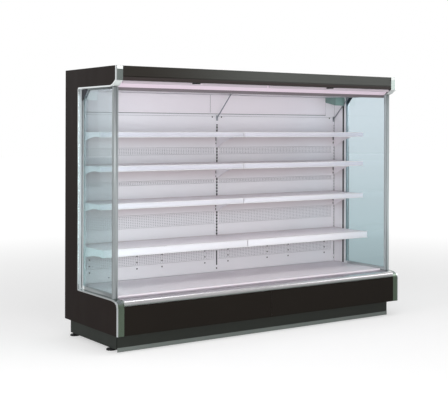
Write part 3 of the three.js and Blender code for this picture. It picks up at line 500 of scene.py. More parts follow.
def rear_steel_finish():
    """White sheet of the back of the case, with painted shade: darker below each shelf, where the
    shelf's shadow falls.
    """
    finish = coat_finish("rear_powder_coat", REAR_WHITE, 0.42, 0.04, 900.0)
    tree = finish.node_tree
    rise = split_place(tree)["Z"]
    shelf_shadow = None
    for top, shelf, reach in SHELF_SHADES:
        below = ramp(tree, rise, (top - reach, top))
        above = ramp(tree, rise, (shelf, shelf + SHADE_END))
        band = math_node(tree, "SUBTRACT", below, above)
        shelf_shadow = band if shelf_shadow is None else math_node(tree, "ADD", shelf_shadow, band)
    return recoloured(finish, colour_mix(tree, shelf_shadow, REAR_WHITE, REAR_PAINTED_SHADE))


FINISH = {
    "brown_foamed_panel": coat_finish("brown_skin", paint(29, 21, 18), 0.46, 0.25, specular=0.10),
    "brown_steel": coat_finish("brown_paint", paint(30, 26, 22), 0.40, 0.20, specular=0.12),
    "aluminium_trim": trim_finish("satin_trim", paint(196, 203, 206), 0.2),
    "side_glass": glass_finish("clear_side_glass", paint(210, 226, 226), paint(210, 222, 224)),
    "white_foamed_tank": coat_finish("white_skin", paint(232, 230, 236), 0.45, 0.05),
    "white_steel": coat_finish("white_powder_coat", paint(240, 235, 240), 0.40, 0.04, 900.0),
    "white_plastic": coat_finish("white_plastic_skin", paint(240, 240, 243), 0.30, 0.03),
    "lamp_white": lit_finish("lit_opal", paint(214, 199, 211), paint(235, 214, 229), 0.30),
    "dark_grey_plastic": coat_finish("grey_moulding", paint(98, 104, 104), 0.45, 0.08),
    "grille_aluminium": metal_finish("grille_metal", paint(212, 204, 212), 0.38, ALONG_X, 0.8),
    "galvanised_steel": metal_finish("zinc_coated", paint(168, 172, 176), 0.45, EVEN, line=60.0),
    "coil_aluminium": metal_finish("fin_stock", paint(200, 204, 206), 0.35, ALONG_Z),
    "plinth_steel": coat_finish("base_paint", paint(46, 50, 46), 0.48, 0.15, specular=0.2),
    "blind_bar_aluminium": metal_finish("bar_metal", paint(216, 204, 214), 0.40, ALONG_X, 0.2),
    "blind_roller_film": coat_finish("wound_film", paint(180, 184, 190), 0.40, 0.05),
    "black_plastic": coat_finish("black_moulding", paint(28, 28, 28), 0.50, 0.10),
}
REAR_STEEL = rear_steel_finish()
LOOKS = {
    "fascia": fascia_finish(),
    # The plinth's lowest strip is lighter: a painted reflection of the pale floor.
    "plinth": graded_finish(
        coat_finish("plinth_painted_reflection", paint(46, 50, 46), 0.48, 0.15, specular=0.2),
        "Z", PLINTH_REFLECTION_STRIP, paint(118, 125, 121), paint(48, 51, 47),
    ),
    # The right glass is tinted deeper than the left: painted shade for the darker view through it.
    "side_glass_right": glass_finish("right_glass_painted_shade", paint(168, 189, 194), paint(207, 222, 229)),
    # Both posts are one metal: the left one is painted darker, as painted shade.
    "glass_frame_left": post_finish("left_post_painted_shade", paint(150, 156, 158)),
    "glass_frame_right": post_finish("right_post_metal", paint(172, 181, 183)),
    # The bumper's lower edge is darker and greener: painted shade.
    "bumper_rail": graded_finish(
        metal_finish("bumper_metal", paint(228, 228, 228), 0.24, ALONG_X),
        "Z", BUMPER_SHADE_EDGE, paint(172, 181, 176), paint(228, 227, 229),
    ),
    # The right trim's column is painted paler and not metal: painted light where the glass keeps it
    # in shade.
    "edge_trim_right": trim_finish("right_trim_painted_light", paint(240, 244, 244), 0.0),
    **{f"upright_{place}": REAR_STEEL for place in ("left", "centre", "right")},
}
# A grey sheet behind the punched bands: painted shade seen through the holes.
DUCT_SHADE_GREY = coat_finish("duct_painted_shade", paint(160, 160, 166), 0.50, 0.08)
LIP_GREY = coat_finish("lip_moulding", paint(120, 114, 118), 0.45, 0.08)
PLATE_DARK = coat_finish("plate_moulding", paint(50, 50, 58), 0.42, 0.10)
# Teal grey of the right corner cover: painted shade.
TEAL_SHADE_GREY = coat_finish("corner_painted_shade", paint(119, 146, 140), 0.40, 0.12)
# Rail inserts painted lighter low down and darker high up: painted light and shade that evens out
# the rails.
INSERT_PAINTED_LIGHT = graded_finish(
    coat_finish("rail_insert_painted_light", paint(232, 234, 240), 0.22, 0.03),
    "Z", INSERT_LIGHT_RANGE, paint(242, 242, 248), paint(216, 215, 226),
)
BRIGHT_CAP = coat_finish("cap_moulding", paint(246, 250, 248), 0.35, 0.03)


def finish_nodes():
    for part in frame["record"]["subparts"]:
        node = NODES[part["node"]]
        node.data.materials.clear()
        node.data.materials.append(LOOKS.get(part["node"]) or FINISH[part["material_slot"]])


finish_nodes()

# -------------------- modelling

WELD_GAP = 1e-5
SOFT_ANGLE = math.radians(34)
EDGE_STEPS = 2
FACE_WEIGHT = 100


def edit_mode():
    bpy.ops.object.mode_set(mode="EDIT")
    bpy.ops.mesh.select_mode(type="VERT")


def object_mode():
    bpy.ops.object.mode_set(mode="OBJECT")


def pick_points(piece, wanted):
    """In edit mode, selects the corners whose place passes the test, and nothing else."""
    bpy.ops.mesh.select_all(action="DESELECT")
    mesh = bmesh.from_edit_mesh(piece.data)
    for corner in mesh.verts:
        corner.select = wanted(corner.co)
    mesh.select_flush_mode()
    bmesh.update_edit_mesh(piece.data)


def ring(sides, radius):
    """A bare ring of corners round the origin, its radius in mm."""
    bpy.ops.mesh.primitive_circle_add(vertices=sides, radius=radius * MM, fill_type="NOTHING")


def bridge_rings():
    """In edit mode, joins two open rings with a skin that faces one way."""
    bpy.ops.mesh.select_all(action="SELECT")
    bpy.ops.mesh.bridge_edge_loops()
    bpy.ops.mesh.normals_make_consistent(inside=False)


def select_only(*pieces):
    bpy.ops.object.select_all(action="DESELECT")
    for piece in pieces:
        piece.select_set(True)
    bpy.context.view_layer.objects.active = pieces[0]


def freeze(piece):
    """Puts the object's place, turn and size into its mesh."""
    select_only(piece)
    bpy.ops.object.transform_apply(location=True, rotation=True, scale=True)
    return piece


def use_modifier(piece, kind, **values):
    """Adds one modifier to the piece and applies it."""
    bpy.context.view_layer.objects.active = piece
    step = piece.modifiers.new(kind.lower(), kind)
    for label, value in values.items():
        setattr(step, label, value)
    bpy.ops.object.modifier_apply(modifier=step.name)
    return piece


def thicken(piece, wall):
    """Gives a skin a wall, in mm, half on each side of it."""
    return use_modifier(piece, "SOLIDIFY", thickness=wall * MM, offset=0.0, use_even_offset=True)


def round_edges(piece, width):
    """Softens the piece's sharp edges by a width in mm."""
    use_modifier(
        piece, "BEVEL", width=width * MM, segments=EDGE_STEPS, limit_method="ANGLE",
        angle_limit=SOFT_ANGLE,
    )
    select_only(piece)
    bpy.ops.object.shade_smooth_by_angle(angle=SOFT_ANGLE)
    return piece


def repeat(piece, count, step, merge=True):
    """A row of copies, each a step in metres from the last."""
    return use_modifier(
        piece, "ARRAY", count=count, use_relative_offset=False, use_constant_offset=True,
        constant_offset_displace=step, use_merge_vertices=merge, merge_threshold=WELD_GAP,
    )


def block(low, high, rounding=0.0):
    """A rectangular piece between two corners in mm, with softened edges."""
    start, end = at(*low), at(*high)
    bpy.ops.mesh.primitive_cube_add(size=1, location=(start + end) / 2)
    piece = bpy.context.object
    piece.scale = end - start
    freeze(piece)
    if rounding:
        round_edges(piece, rounding)
    return piece


def span(side, inner, outer):
    """The X range of something between two distances from the middle, on one side."""
    return (inner * side, outer * side) if side > 0 else (outer * side, inner * side)


def side_block(side, near, far, rounding=0.0):
    """A block on one side: its corners as on the right, with distances from the middle."""
    low, high = span(side, near[0], far[0])
    return block((low, *near[1:]), (high, *far[1:]), rounding)


def slant_foot(piece, rise):
    """Moves the lower front edge of a block by a rise in mm, and softens its edges."""
    corners = piece.data.vertices
    middle = sum((corner.co for corner in corners), Vector()) / len(corners)
    edit_mode()
    pick_points(piece, lambda co: co.z < middle.z and co.y < middle.y)
    bpy.ops.transform.translate(value=(0, 0, rise * MM))
    object_mode()
    return round_edges(piece, 0.5)


def folded(low_x, high_x, bends, thickness, rounding=0.0):
    """Sheet metal along the length: a strip whose edge is drawn out through each bend. Bends are
    (depth, rise) in mm on the sheet's middle plane."""
    first, second = at(0, *bends[0]), at(0, *bends[1])
    run = second - first
    bpy.ops.mesh.primitive_plane_add(
        size=1, location=(first + second) / 2 + Vector(((low_x + high_x) / 2 * MM, 0, 0)),
        rotation=(math.atan2(run.z, run.y), 0, 0),
    )
    piece = bpy.context.object
    piece.scale = ((high_x - low_x) * MM, run.length, 1)
    freeze(piece)
    edit_mode()
    last = second
    for bend in bends[2:]:
        here = last.copy()
        pick_points(piece, lambda co: abs(co.y - here.y) + abs(co.z - here.z) < WELD_GAP)
        last = at(0, *bend)
        bpy.ops.mesh.extrude_region_move(TRANSFORM_OT_translate={"value": last - here})
    object_mode()
    thicken(piece, thickness)
    if rounding:
        round_edges(piece, rounding)
    return piece


TURNS = {"Y": (math.pi / 2, 0, 0), "Z": (0, 0, 0)}


def disc(centre, radius, depth, axis="Z", sides=24, rounding=0.0):
    """A short round piece: middle in mm, radius and length in mm, along one axis."""
    bpy.ops.mesh.primitive_cylinder_add(
        vertices=sides, radius=radius * MM, depth=depth * MM, location=at(*centre),
        rotation=TURNS[axis],
    )
    piece = freeze(bpy.context.object)
    if rounding:
        round_edges(piece, rounding)
    return piece


def copy_to(piece, shift):
    """A copy with its own mesh, moved by shift in mm."""
    other = piece.copy()
    other.data = piece.data.copy()
    bpy.context.scene.collection.objects.link(other)
    other.location = Vector(shift) * MM
    return freeze(other)


def joined(pieces):
    select_only(*pieces)
    if len(pieces) > 1:
        bpy.ops.object.join()
    return pieces[0]


def fit(piece, name, slot, body="cabinet", finish=None, stands_for=()):
    """Names a finished piece, gives it its finish and hangs it on its body."""
    piece.name = name
    piece.data.name = name
    piece.data.materials.clear()
    piece.data.materials.append(finish or FINISH[slot])
    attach(piece, body)
    if stands_for:
        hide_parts(*stands_for)
    return piece


def soften(name, width):
    """Small rounded edges on a CAD node, as live modifiers, so that its metal catches the light."""
    node = NODES[name]
    weld = node.modifiers.new("weld", "WELD")
    weld.merge_threshold = WELD_GAP
    edges = node.modifiers.new("edges", "BEVEL")
    edges.width = width * MM
    edges.segments = EDGE_STEPS
    edges.limit_method = "ANGLE"
    edges.angle_limit = SOFT_ANGLE
    faces = node.modifiers.new("faces", "WEIGHTED_NORMAL")
    faces.weight = FACE_WEIGHT
    for face in node.data.polygons:
        face.use_smooth = True


# -------------------- the two ends

# Name, rounding, two corners as on the right, slot and finish.
COLUMN_PIECES = (
    ("column_liner", 0.0, (1249.0, 636.5, 386.5), (1249.8, 775.0, 1800.0),
     "white_steel", REAR_STEEL),
    ("glazing_strip", 0.5, (1249.2, 617.6, 404.0), (1250.9, 631.6, 1841.0),
     "white_plastic", None),
    ("column_gasket", 0.25, (1248.3, 641.0, 388.0), (1248.95, 661.0, 1799.0),
     "black_plastic", None),
    ("channel_gasket", 0.4, (1271.3, 631.0, 386.0), (1276.5, 632.8, 1850.0),
     "black_plastic", None),
)
CORNER_PLATE = (1271.2, 548.0, 1762.0), (1273.4, 630.8, 1853.0)
PLATE_RISE = 82.0
TRIM_CAP = (1251.5, 27.6, 1976.0), (1295.5, 29.4, 1998.6)


def fit_ends():
    """Liners, strips, gaskets and corner plates where the columns meet the glass."""
    for label, side in SIDES:
        for name, rounding, near, far, slot, finish in COLUMN_PIECES:
            fit(side_block(side, near, far, rounding), f"{name}_{label}", slot, finish=finish)
        plate = slant_foot(side_block(side, *CORNER_PLATE), PLATE_RISE)
        fit(plate, f"glass_corner_plate_{label}", "black_plastic", finish=PLATE_DARK)


def cap_trims():
    """A bright cap closing the top of each end's edge profile."""
    for label, side in SIDES:
        cap = side_block(side, *TRIM_CAP, 0.6)
        fit(cap, f"trim_cap_{label}", "white_plastic", finish=BRIGHT_CAP)


# -------------------- rear wall

PUNCHED_BANDS = ((492, 577), (785, 885), (1120, 1150), (1357, 1412))
TOP_JOINT = 1669
PANEL_LOW, PANEL_HIGH = 385.6, 1845.4
PANEL_INNER, PANEL_OUTER = 15.6, 1227.1
PANEL_FACE = 780.4
PANEL_SHEET = 1.0
PLANK_GAP = 3.2
PLANK_FOLD = 7.0
HOLE_PITCH, ROW_PITCH, HOLE_RADIUS = 16.0, 12.5, 3.6
HOLE_SIDES = 8
EDGE_MARGIN, ROW_MARGIN = 9.0, 3.0
SHADE_FRONT, SHADE_BACK = 788.5, 789.5


def punched_sheet(low_x, high_x, low, high, pitch, row, radius):
    """A flat punched field, its low corner at the origin, sizes in mm: one tile, repeated."""
    across = round((high_x - low_x) / pitch)
    up = max(1, round((high - low) / row))
    wide, tall = (high_x - low_x) / across * MM, (high - low) / up * MM
    bpy.ops.mesh.primitive_plane_add(size=1)
    tile = bpy.context.object
    tile.scale = (wide, tall, 1)
    freeze(tile)
    edit_mode()
    bpy.ops.mesh.select_all(action="SELECT")
    bpy.ops.mesh.subdivide(number_cuts=1)
    pick_points(tile, lambda co: co.length < WELD_GAP)
    bpy.ops.mesh.delete(type="VERT")
    ring(HOLE_SIDES, radius)
    bridge_rings()
    object_mode()
    tile.location = (wide / 2, tall / 2, 0)
    freeze(tile)
    repeat(tile, across, (wide, 0, 0))
    return repeat(tile, up, (0, tall, 0))


def stand_up(piece, low_x, depth, rise):
    """Turns a flat field upright, facing the front, and puts its low corner in place."""
    piece.rotation_euler = (math.pi / 2, 0, 0)
    piece.location = at(low_x, depth, rise)
    return freeze(piece)


def plank(low_x, high_x, low, high, punched):
    """One plank of the rear wall, its long edges folded back, its middle punched or plain."""
    bottom, top = low + PLANK_GAP / 2, high - PLANK_GAP / 2
    fold = PANEL_FACE + PLANK_FOLD
    foot = ((fold, bottom), (PANEL_FACE, bottom))
    head = ((PANEL_FACE, top), (fold, top))
    if not punched:
        return folded(low_x, high_x, (*foot, *head), PANEL_SHEET)
    first_row, last_row = bottom + ROW_MARGIN, top - ROW_MARGIN
    field_low, field_high = low_x + EDGE_MARGIN, high_x - EDGE_MARGIN
    lower = folded(low_x, high_x, (*foot, (PANEL_FACE, first_row)), PANEL_SHEET)
    upper = folded(low_x, high_x, ((PANEL_FACE, last_row), *head), PANEL_SHEET)
    field = punched_sheet(
        field_low, field_high, first_row, last_row, HOLE_PITCH, ROW_PITCH, HOLE_RADIUS,
    )
    stand_up(field, field_low, PANEL_FACE, first_row)
    thicken(field, PANEL_SHEET)
    margins = [
        folded(
            edge, edge + EDGE_MARGIN, ((PANEL_FACE, first_row), (PANEL_FACE, last_row)),
            PANEL_SHEET,
        )
        for edge in (low_x, field_high)
    ]
    return joined([field, lower, upper, *margins])


def hang_rear_wall():
    """A wall of planks in each bay, and behind it a grey sheet: painted shade that shows through
    its holes.
    """
    heights = [PANEL_LOW]
    for low, high in PUNCHED_BANDS:
        heights += [low, high]
    heights += [TOP_JOINT, PANEL_HIGH]
    for label, side in SIDES:
        low_x, high_x = span(side, PANEL_INNER, PANEL_OUTER)
        planks = [
            plank(low_x, high_x, low, high, (low, high) in PUNCHED_BANDS)
            for low, high in zip(heights, heights[1:])
        ]
        fit(
            joined(planks), f"rear_wall_{label}", "white_steel", finish=REAR_STEEL,
            stands_for=(f"rear_panel_{label}",),
        )
        shade = block(
            (low_x + 1, SHADE_FRONT, PANEL_LOW + 6), (high_x - 1, SHADE_BACK, PANEL_HIGH - 4),
        )
        fit(shade, f"duct_shade_{label}", "dark_grey_plastic", finish=DUCT_SHADE_GREY)


# The slots of the uprights: places are (middle, half width), heights are (low, high).
CHANNELS = ((0, 12.4), (-1238.7, 8.4), (1238.7, 8.4))
CHANNEL_LOW, CHANNEL_HIGH = (780.3, 392.0), (781.0, 1838.0)
SLOT_ROWS, SLOT_PITCH = 41, 25.0
BRIDGE_HALF, BRIDGE_FACE = 2.55, 777.5
BRIDGE_ROW, RUNG_ROW = (577.0, 593.0), (568.3, 576.7)
RUNGS = ((0, 7.4), (-1244.75, 2.3), (1244.75, 2.3))
FOOT_RUNGS = ((0, 5.4), (-1244.75, 2.3), (1244.75, 2.3))
FOOT_SLOTS = ((442.0, 564.0), (409.0, 422.0))
PAD_FACE, PAD_BACK = 777.52, 777.95
OUTER_PADS = (
    (1469, 1497), (1438, 1450), (1200, 1226), (1168, 1181), (927, 938), (898, 910), (582, 594),
)
MIDDLE_PADS = (
    (1466, 1504), (1439, 1450), (1198, 1218), (1170, 1179), (924, 934), (896, 912), (580, 589),
)
# Rows of painted shade where the slots show beside the shelf brackets.
BRACKET_SHADE_PADS = (
    (-1241.5, -1231.5, OUTER_PADS), (-14.0, -5.0, MIDDLE_PADS), (1231.5, 1241.5, OUTER_PADS),
)


def shade_pad(low_x, high_x, rows, rounding):
    """A thin dark pad just proud of an upright, as painted shade."""
    return block((low_x, PAD_FACE, rows[0]), (high_x, PAD_BACK, rows[1]), rounding)


def line_uprights():
    """Painted shade on the uprights: dark channels behind the slots, dark lines between the slots,
    and dark pads where the slots show beside the brackets.
    """
    channels = [
        block((middle - half, *CHANNEL_LOW), (middle + half, *CHANNEL_HIGH))
        for middle, half in CHANNELS
    ]
    fit(joined(channels), "slot_channel_shade", "black_plastic")
    low, high = BRIDGE_ROW
    dash = block((-BRIDGE_HALF, BRIDGE_FACE, low), (BRIDGE_HALF, PAD_BACK, high), 0.15)
    repeat(dash, SLOT_ROWS, (0, 0, SLOT_PITCH * MM), merge=False)
    fit(dash, "slot_bridge_shade", "black_plastic")
    rungs = []
    for middle, half in RUNGS:
        rung = shade_pad(middle - half, middle + half, RUNG_ROW, 0.15)
        rungs.append(repeat(rung, SLOT_ROWS + 1, (0, 0, SLOT_PITCH * MM), merge=False))
    for middle, half in FOOT_RUNGS:
        rungs += [shade_pad(middle - half, middle + half, rows, 0.15) for rows in FOOT_SLOTS]
    fit(joined(rungs), "slot_rung_shade", "black_plastic")
    pads = [
        shade_pad(low, high, rows, 0.2)
        for low, high, all_rows in BRACKET_SHADE_PADS for rows in all_rows
    ]
    fit(joined(pads), "bracket_slot_shade", "black_plastic")


PLUG_OFFSETS, PLUG_RISES = (112, 512), (467, 516, 565)
PLUG_RADIUS, PLUG_RIM = 4.6, 6.2


def plug_rear_wall():
    """Black blanking plugs with a rim, pressed into the rear wall."""
    head = disc((0, PANEL_FACE - 1.2, 0), PLUG_RADIUS, 2.0, "Y", 16, 0.6)
    first = joined([head, disc((0, PANEL_FACE - 0.6, 0), PLUG_RIM, 0.8, "Y", 16, 0.3)])
    plugs = [
        copy_to(first, (side * (BAY_MIDDLE + off * way), 0, rise))
        for _, side in SIDES for off in PLUG_OFFSETS for way in (-1, 1) for rise in PLUG_RISES
    ]
    bpy.data.objects.remove(first)
    fit(joined(plugs), "wall_plugs", "black_plastic")


# -------------------- air outlet and return

INNER_HALF = 1249.4
CELL_SIDES, CELL_RADIUS, CELL_WALL = 6, 5.6, 0.45
CELL_MARGIN, CELL_RECESS = 3.0, 2.0
OUTLET_FRONT, OUTLET_BACK = 119.6, 185.0
OUTLET_LOW, OUTLET_HIGH = 1850.0, 1872.0
LIP_FOOT = 1830.5
HOLDER_FRONT = (
    (OUTLET_FRONT + 7, 1873.2), (OUTLET_FRONT, 1873.2), (OUTLET_FRONT, LIP_FOOT),
    (OUTLET_FRONT + 9, LIP_FOOT), (OUTLET_FRONT + 9, 1848.6),
)
HOLDER_BACK = (
    (OUTLET_BACK - 7, 1872.6), (OUTLET_BACK - 0.6, 1872.6), (OUTLET_BACK - 0.6, 1844.0),
    (OUTLET_BACK - 8, 1844.0),
)


def hang_outlet():
    """Fine six-sided cells in a dark holder, over the mouth of the case."""
    ring(CELL_SIDES, CELL_RADIUS)
    cells = bpy.context.object
    edit_mode()
    ring(CELL_SIDES, CELL_RADIUS - CELL_WALL)
    bridge_rings()
    object_mode()
    wide = math.sqrt(3) * CELL_RADIUS
    rows = int((OUTLET_BACK - OUTLET_FRONT - 2 * CELL_RADIUS) / (3 * CELL_RADIUS))
    across = int((2 * INNER_HALF - 2 * wide) / wide)
    cells = joined([cells, copy_to(cells, (wide / 2, 1.5 * CELL_RADIUS, 0))])
    repeat(cells, across, (wide * MM, 0, 0))
    repeat(cells, rows, (0, 3 * CELL_RADIUS * MM, 0))
    edit_mode()
    bpy.ops.mesh.select_all(action="SELECT")
    bpy.ops.mesh.remove_doubles(threshold=WELD_GAP)
    object_mode()
    first_row = OUTLET_FRONT + CELL_RADIUS + CELL_MARGIN
    cells.location = at(-across * wide / 2, first_row, (OUTLET_LOW + OUTLET_HIGH) / 2)
    freeze(cells)
    thicken(cells, OUTLET_HIGH - OUTLET_LOW - CELL_RECESS)
    fit(cells, "outlet_cells", "white_plastic", stands_for=("air_honeycomb",))
    front = folded(-INNER_HALF, INNER_HALF, HOLDER_FRONT, 1.2, 0.4)
    back = folded(-INNER_HALF, INNER_HALF, HOLDER_BACK, 1.0, 0.3)
    fit(joined([front, back]), "outlet_holder", "dark_grey_plastic", finish=LIP_GREY)


GRILLE_FRONT, GRILLE_BACK = 52.6, 159.4
FIELD_FRONT, FIELD_BACK, FIELD_END = 66, 148, 8
GRILLE_PITCH, GRILLE_ROW, GRILLE_HOLE = 12.0, 10.5, 3.9
GRILLE_TOP, GRILLE_SHEET, GRILLE_FOLD = 373.0, 1.2, 12.0


def lay_return_grille():
    """The punched return grille behind the bumper, with its folded rear edge."""
    rise = GRILLE_TOP - GRILLE_SHEET / 2
    field_half = INNER_HALF - FIELD_END
    field = punched_sheet(
        -field_half, field_half, FIELD_FRONT, FIELD_BACK, GRILLE_PITCH, GRILLE_ROW, GRILLE_HOLE,
    )
    field.location = at(-field_half, FIELD_FRONT, rise)
    freeze(field)
    thicken(field, GRILLE_SHEET)
    front = folded(
        -INNER_HALF, INNER_HALF, ((GRILLE_FRONT, rise), (FIELD_FRONT, rise)), GRILLE_SHEET,
    )
    back = folded(
        -INNER_HALF, INNER_HALF,
        ((FIELD_BACK, rise), (GRILLE_BACK, rise), (GRILLE_BACK, GRILLE_TOP - GRILLE_FOLD)),
        GRILLE_SHEET,
    )
    ends = [
        folded(edge, edge + FIELD_END, ((FIELD_FRONT, rise), (FIELD_BACK, rise)), GRILLE_SHEET)
        for edge in (-INNER_HALF, field_half)
    ]
    grille = joined([field, front, back, *ends])
    fit(grille, "punched_grille", "grille_aluminium", stands_for=("return_grille",))


# -------------------- night blinds

FILM_HALF = 600.0
FILM_PLANE, FILM_TOP, FILM_FOOT = 54.0, 1962.0, 1896.6
FILM_COLUMNS, FILM_ROWS, FILM_THICKNESS = 40, 16, 0.3
GRIP_SHIFT, GRIP_HALF, RIDGE_HALF = -24.0, 32.0, 28.0


def hang_blinds():
    """The film that hangs from each roller to its bar."""
    for label, side in SIDES:
        middle = side * BAY_MIDDLE
        bpy.ops.mesh.primitive_grid_add(
            x_subdivisions=FILM_COLUMNS, y_subdivisions=FILM_ROWS, size=1,
        )
        film = bpy.context.object
        film.scale = (2 * FILM_HALF * MM, (FILM_TOP - FILM_FOOT) * MM, 1)
        film.rotation_euler = (math.pi / 2, 0, 0)
        film.location = at(middle, FILM_PLANE, (FILM_TOP + FILM_FOOT) / 2)
        freeze(film)
        thicken(film, FILM_THICKNESS)
        film.name = f"blind_film_{label}"
        film.data.materials.append(FINISH["blind_roller_film"])
        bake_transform(film)


def grip_blinds():
    """Dark moulded grips on the blind bars, each with a ridge for the fingers."""
    for label, side in SIDES:
        middle = side * BAY_MIDDLE + GRIP_SHIFT
        grip = block((middle - GRIP_HALF, 35.8, 1886.6), (middle + GRIP_HALF, 49.0, 1896.0), 1.6)
        ridge = block(
            (middle - RIDGE_HALF, 35.2, 1888.8), (middle + RIDGE_HALF, 36.2, 1893.4), 0.4,
        )
        grip = joined([grip, ridge])
        fit(grip, f"blind_grip_{label}", "black_plastic", body=f"blind_bar_{label}")


# -------------------- canopy fittings

SCREW_RADIUS, SCREW_PROUD, CROSS_HALF, CROSS_REACH = 5.6, 2.4, 0.5, 3.36
CROSS_FRONT, CROSS_BACK = -0.05, 0.4
COVER_FACE = 775.7
COVER_LOW, COVER_LEFT, COVER_RIGHT = 1690.0, -1249.3, 1146.0
HEM_TOP, SHADOW_LINE_TOP = 1842.6, 1842.0
SEAM_PLACE = -67.0
SCREW_PLACES = ((-45, 1662), (45, 1662), (1193, 1662), (-1193, 1662))
DRAIN_ACROSS, DRAIN_RISE = -975, 418


def screw(across, depth, rise):
    """A pan head screw on a wall that faces the front, with a raised cross."""
    middle = (across, depth - SCREW_PROUD / 2, rise)
    head = disc(middle, SCREW_RADIUS, SCREW_PROUD, "Y", 20, 0.7)
    front, back = depth - SCREW_PROUD + CROSS_FRONT, depth - SCREW_PROUD + CROSS_BACK
    arms = [
        block((across - wide, front, rise - tall), (across + wide, back, rise + tall))
        for wide, tall in ((CROSS_REACH, CROSS_HALF), (CROSS_HALF, CROSS_REACH))
    ]
    return joined([head, *arms])


def dress_upper_wall():
    """Hem and joint of the upper cover, dark strips below and beside its edges as painted shadow
    lines, the screws beside the stays, and the drain.
    """
    front, back = COVER_FACE - 1.6, COVER_FACE - 0.1
    edge = COVER_RIGHT - 0.3
    hem = block((COVER_LEFT, front, COVER_LOW + 0.2), (edge, back, COVER_LOW + 5.5), 0.5)
    end = block((COVER_RIGHT - 5.5, front, COVER_LOW + 5.6), (edge, back, HEM_TOP), 0.5)
    fit(joined([hem, end]), "cover_hem", "white_steel")
    # Dark strips below and beside the cover's edges: painted shadow lines.
    front, back, foot = COVER_FACE + 0.4, COVER_FACE + 3.4, COVER_LOW - 4.2
    low_shadow_line = block((COVER_LEFT, front, foot), (edge, back, COVER_LOW - 0.3), 0.4)
    side_shadow_line = block((COVER_RIGHT + 0.3, front, foot), (COVER_RIGHT + 2.6, back, SHADOW_LINE_TOP), 0.4)
    seam = block(
        (SEAM_PLACE - 1.3, COVER_FACE - 0.5, COVER_LOW + 6),
        (SEAM_PLACE + 1.3, COVER_FACE - 0.1, HEM_TOP),
    )
    fit(joined([low_shadow_line, side_shadow_line, seam]), "cover_seam_and_shadow_lines", "dark_grey_plastic")
    heads = [screw(across, PANEL_FACE - 0.6, rise) for across, rise in SCREW_PLACES]
    fit(joined(heads), "stay_screws", "black_plastic")
    drain = disc((DRAIN_ACROSS, PANEL_FACE - 1.6, DRAIN_RISE), 5.2, 2.0, "Y", 16, 0.5)
    fit(drain, "drain_plug", "black_plastic")


CORNER_TOP, CORNER_REAR_LOW, CORNER_FRONT_LOW = 1846.8, 1801.4, 1774.0
CORNER_FRONT = (1146.0, 633.2, CORNER_FRONT_LOW), (1249.5, 635.2, CORNER_TOP)
CORNER_CHEEK = (1143.4, 633.2, CORNER_REAR_LOW), (1145.5, 775.2, CORNER_TOP)
CORNER_LOOKS = {
    "left": ("white_plastic", "cabinet", FINISH["white_plastic"]),
    "right": ("dark_grey_plastic", "cabinet", TEAL_SHADE_GREY),
}


def cover_corners():
    """Moulded covers on the corner blocks, white at the left and teal grey at the right, the teal
    grey
    being painted shade: a plate in front, and a cheek that is deeper towards the glass."""
    for label, side in SIDES:
        front = side_block(side, *CORNER_FRONT, 0.5)
        cheek = slant_foot(side_block(side, *CORNER_CHEEK), CORNER_FRONT_LOW - CORNER_REAR_LOW)
        fit(joined([front, cheek]), f"corner_cover_{label}", *CORNER_LOOKS[label])


# -------------------- shelves and rails

# Each rail: shelf number, front face, foot and top in mm.
RAILS = (
    (1, 322.7, 634.0, 690.0), (2, 378.7, 974.0, 1015.0), (3, 378.7, 1249.0, 1290.0),
    (4, 378.7, 1499.0, 1540.0),
)
RAIL_NEAR, RAIL_FAR = 2.6, 1247.4
LIP_INSET, LIP_TALL, LIP_PROUD, LIP_ROUNDING = 0.4, 4.0, 1.6, 0.7
INSERT_END, INSERT_EDGE, INSERT_PROUD = 3.0, 5.6, 0.8
RAIL_TOUCH = 0.1


def face_rails():
    """Rounded lips and a smooth insert on the front of each price rail."""
    for number, face, low, high in RAILS:
        front, back = face - LIP_PROUD, face - RAIL_TOUCH
        for label, side in SIDES:
            lips = [
                side_block(
                    side, (RAIL_NEAR, front, start), (RAIL_FAR, back, start + LIP_TALL),
                    LIP_ROUNDING,
                )
                for start in (high - LIP_INSET - LIP_TALL, low + LIP_INSET)
            ]
            body = f"shelf_{number}_{label}"
            fit(joined(lips), f"rail_lips_{number}_{label}", "white_plastic", body=body)
            insert = side_block(
                side, (RAIL_NEAR + INSERT_END, face - INSERT_PROUD, low + INSERT_EDGE),
                (RAIL_FAR - INSERT_END, back, high - INSERT_EDGE), 0.2,
            )
            fit(
                insert, f"rail_insert_{number}_{label}", "white_plastic", body=body,
                finish=INSERT_PAINTED_LIGHT,
            )


# -------------------- fans, feet, base and roof

FAN_RISE = 284.0
GUARD_RADII = (24.0, 42.0, 60.0, 78.0)
GUARD_WIRE, GUARD_SPOKES = 1.1, 4
GUARD_FACE, SPOKE_FACE = 236.6, 238.4


def guard_fans():
    """Wire guards of rings and spokes in front of the two fans."""
    for label, side in SIDES:
        wires = []
        for radius in GUARD_RADII:
            bpy.ops.mesh.primitive_torus_add(
                major_radius=radius * MM, minor_radius=GUARD_WIRE * MM, major_segments=40,
                minor_segments=8, location=at(side * BAY_MIDDLE, GUARD_FACE, FAN_RISE),
                rotation=(math.pi / 2, 0, 0),
            )
            wires.append(freeze(bpy.context.object))
        for step in range(GUARD_SPOKES):
            bpy.ops.mesh.primitive_cylinder_add(
                vertices=8, radius=GUARD_WIRE * MM, depth=2 * GUARD_RADII[-1] * MM,
                location=at(side * BAY_MIDDLE, SPOKE_FACE, FAN_RISE),
                rotation=(0, step * math.pi / GUARD_SPOKES, 0),
            )
            wires.append(freeze(bpy.context.object))
        fit(joined(wires), f"fan_guard_{label}", "galvanised_steel")


FOOT_ACROSS = 1243
FOOT_DEPTHS = (("front", 211.0), ("rear", 815.0))
NUT_RISE, WASHER_RISE, THREAD_RISE, THREAD_STEP = 26.0, 21.6, 31.0, 2.0


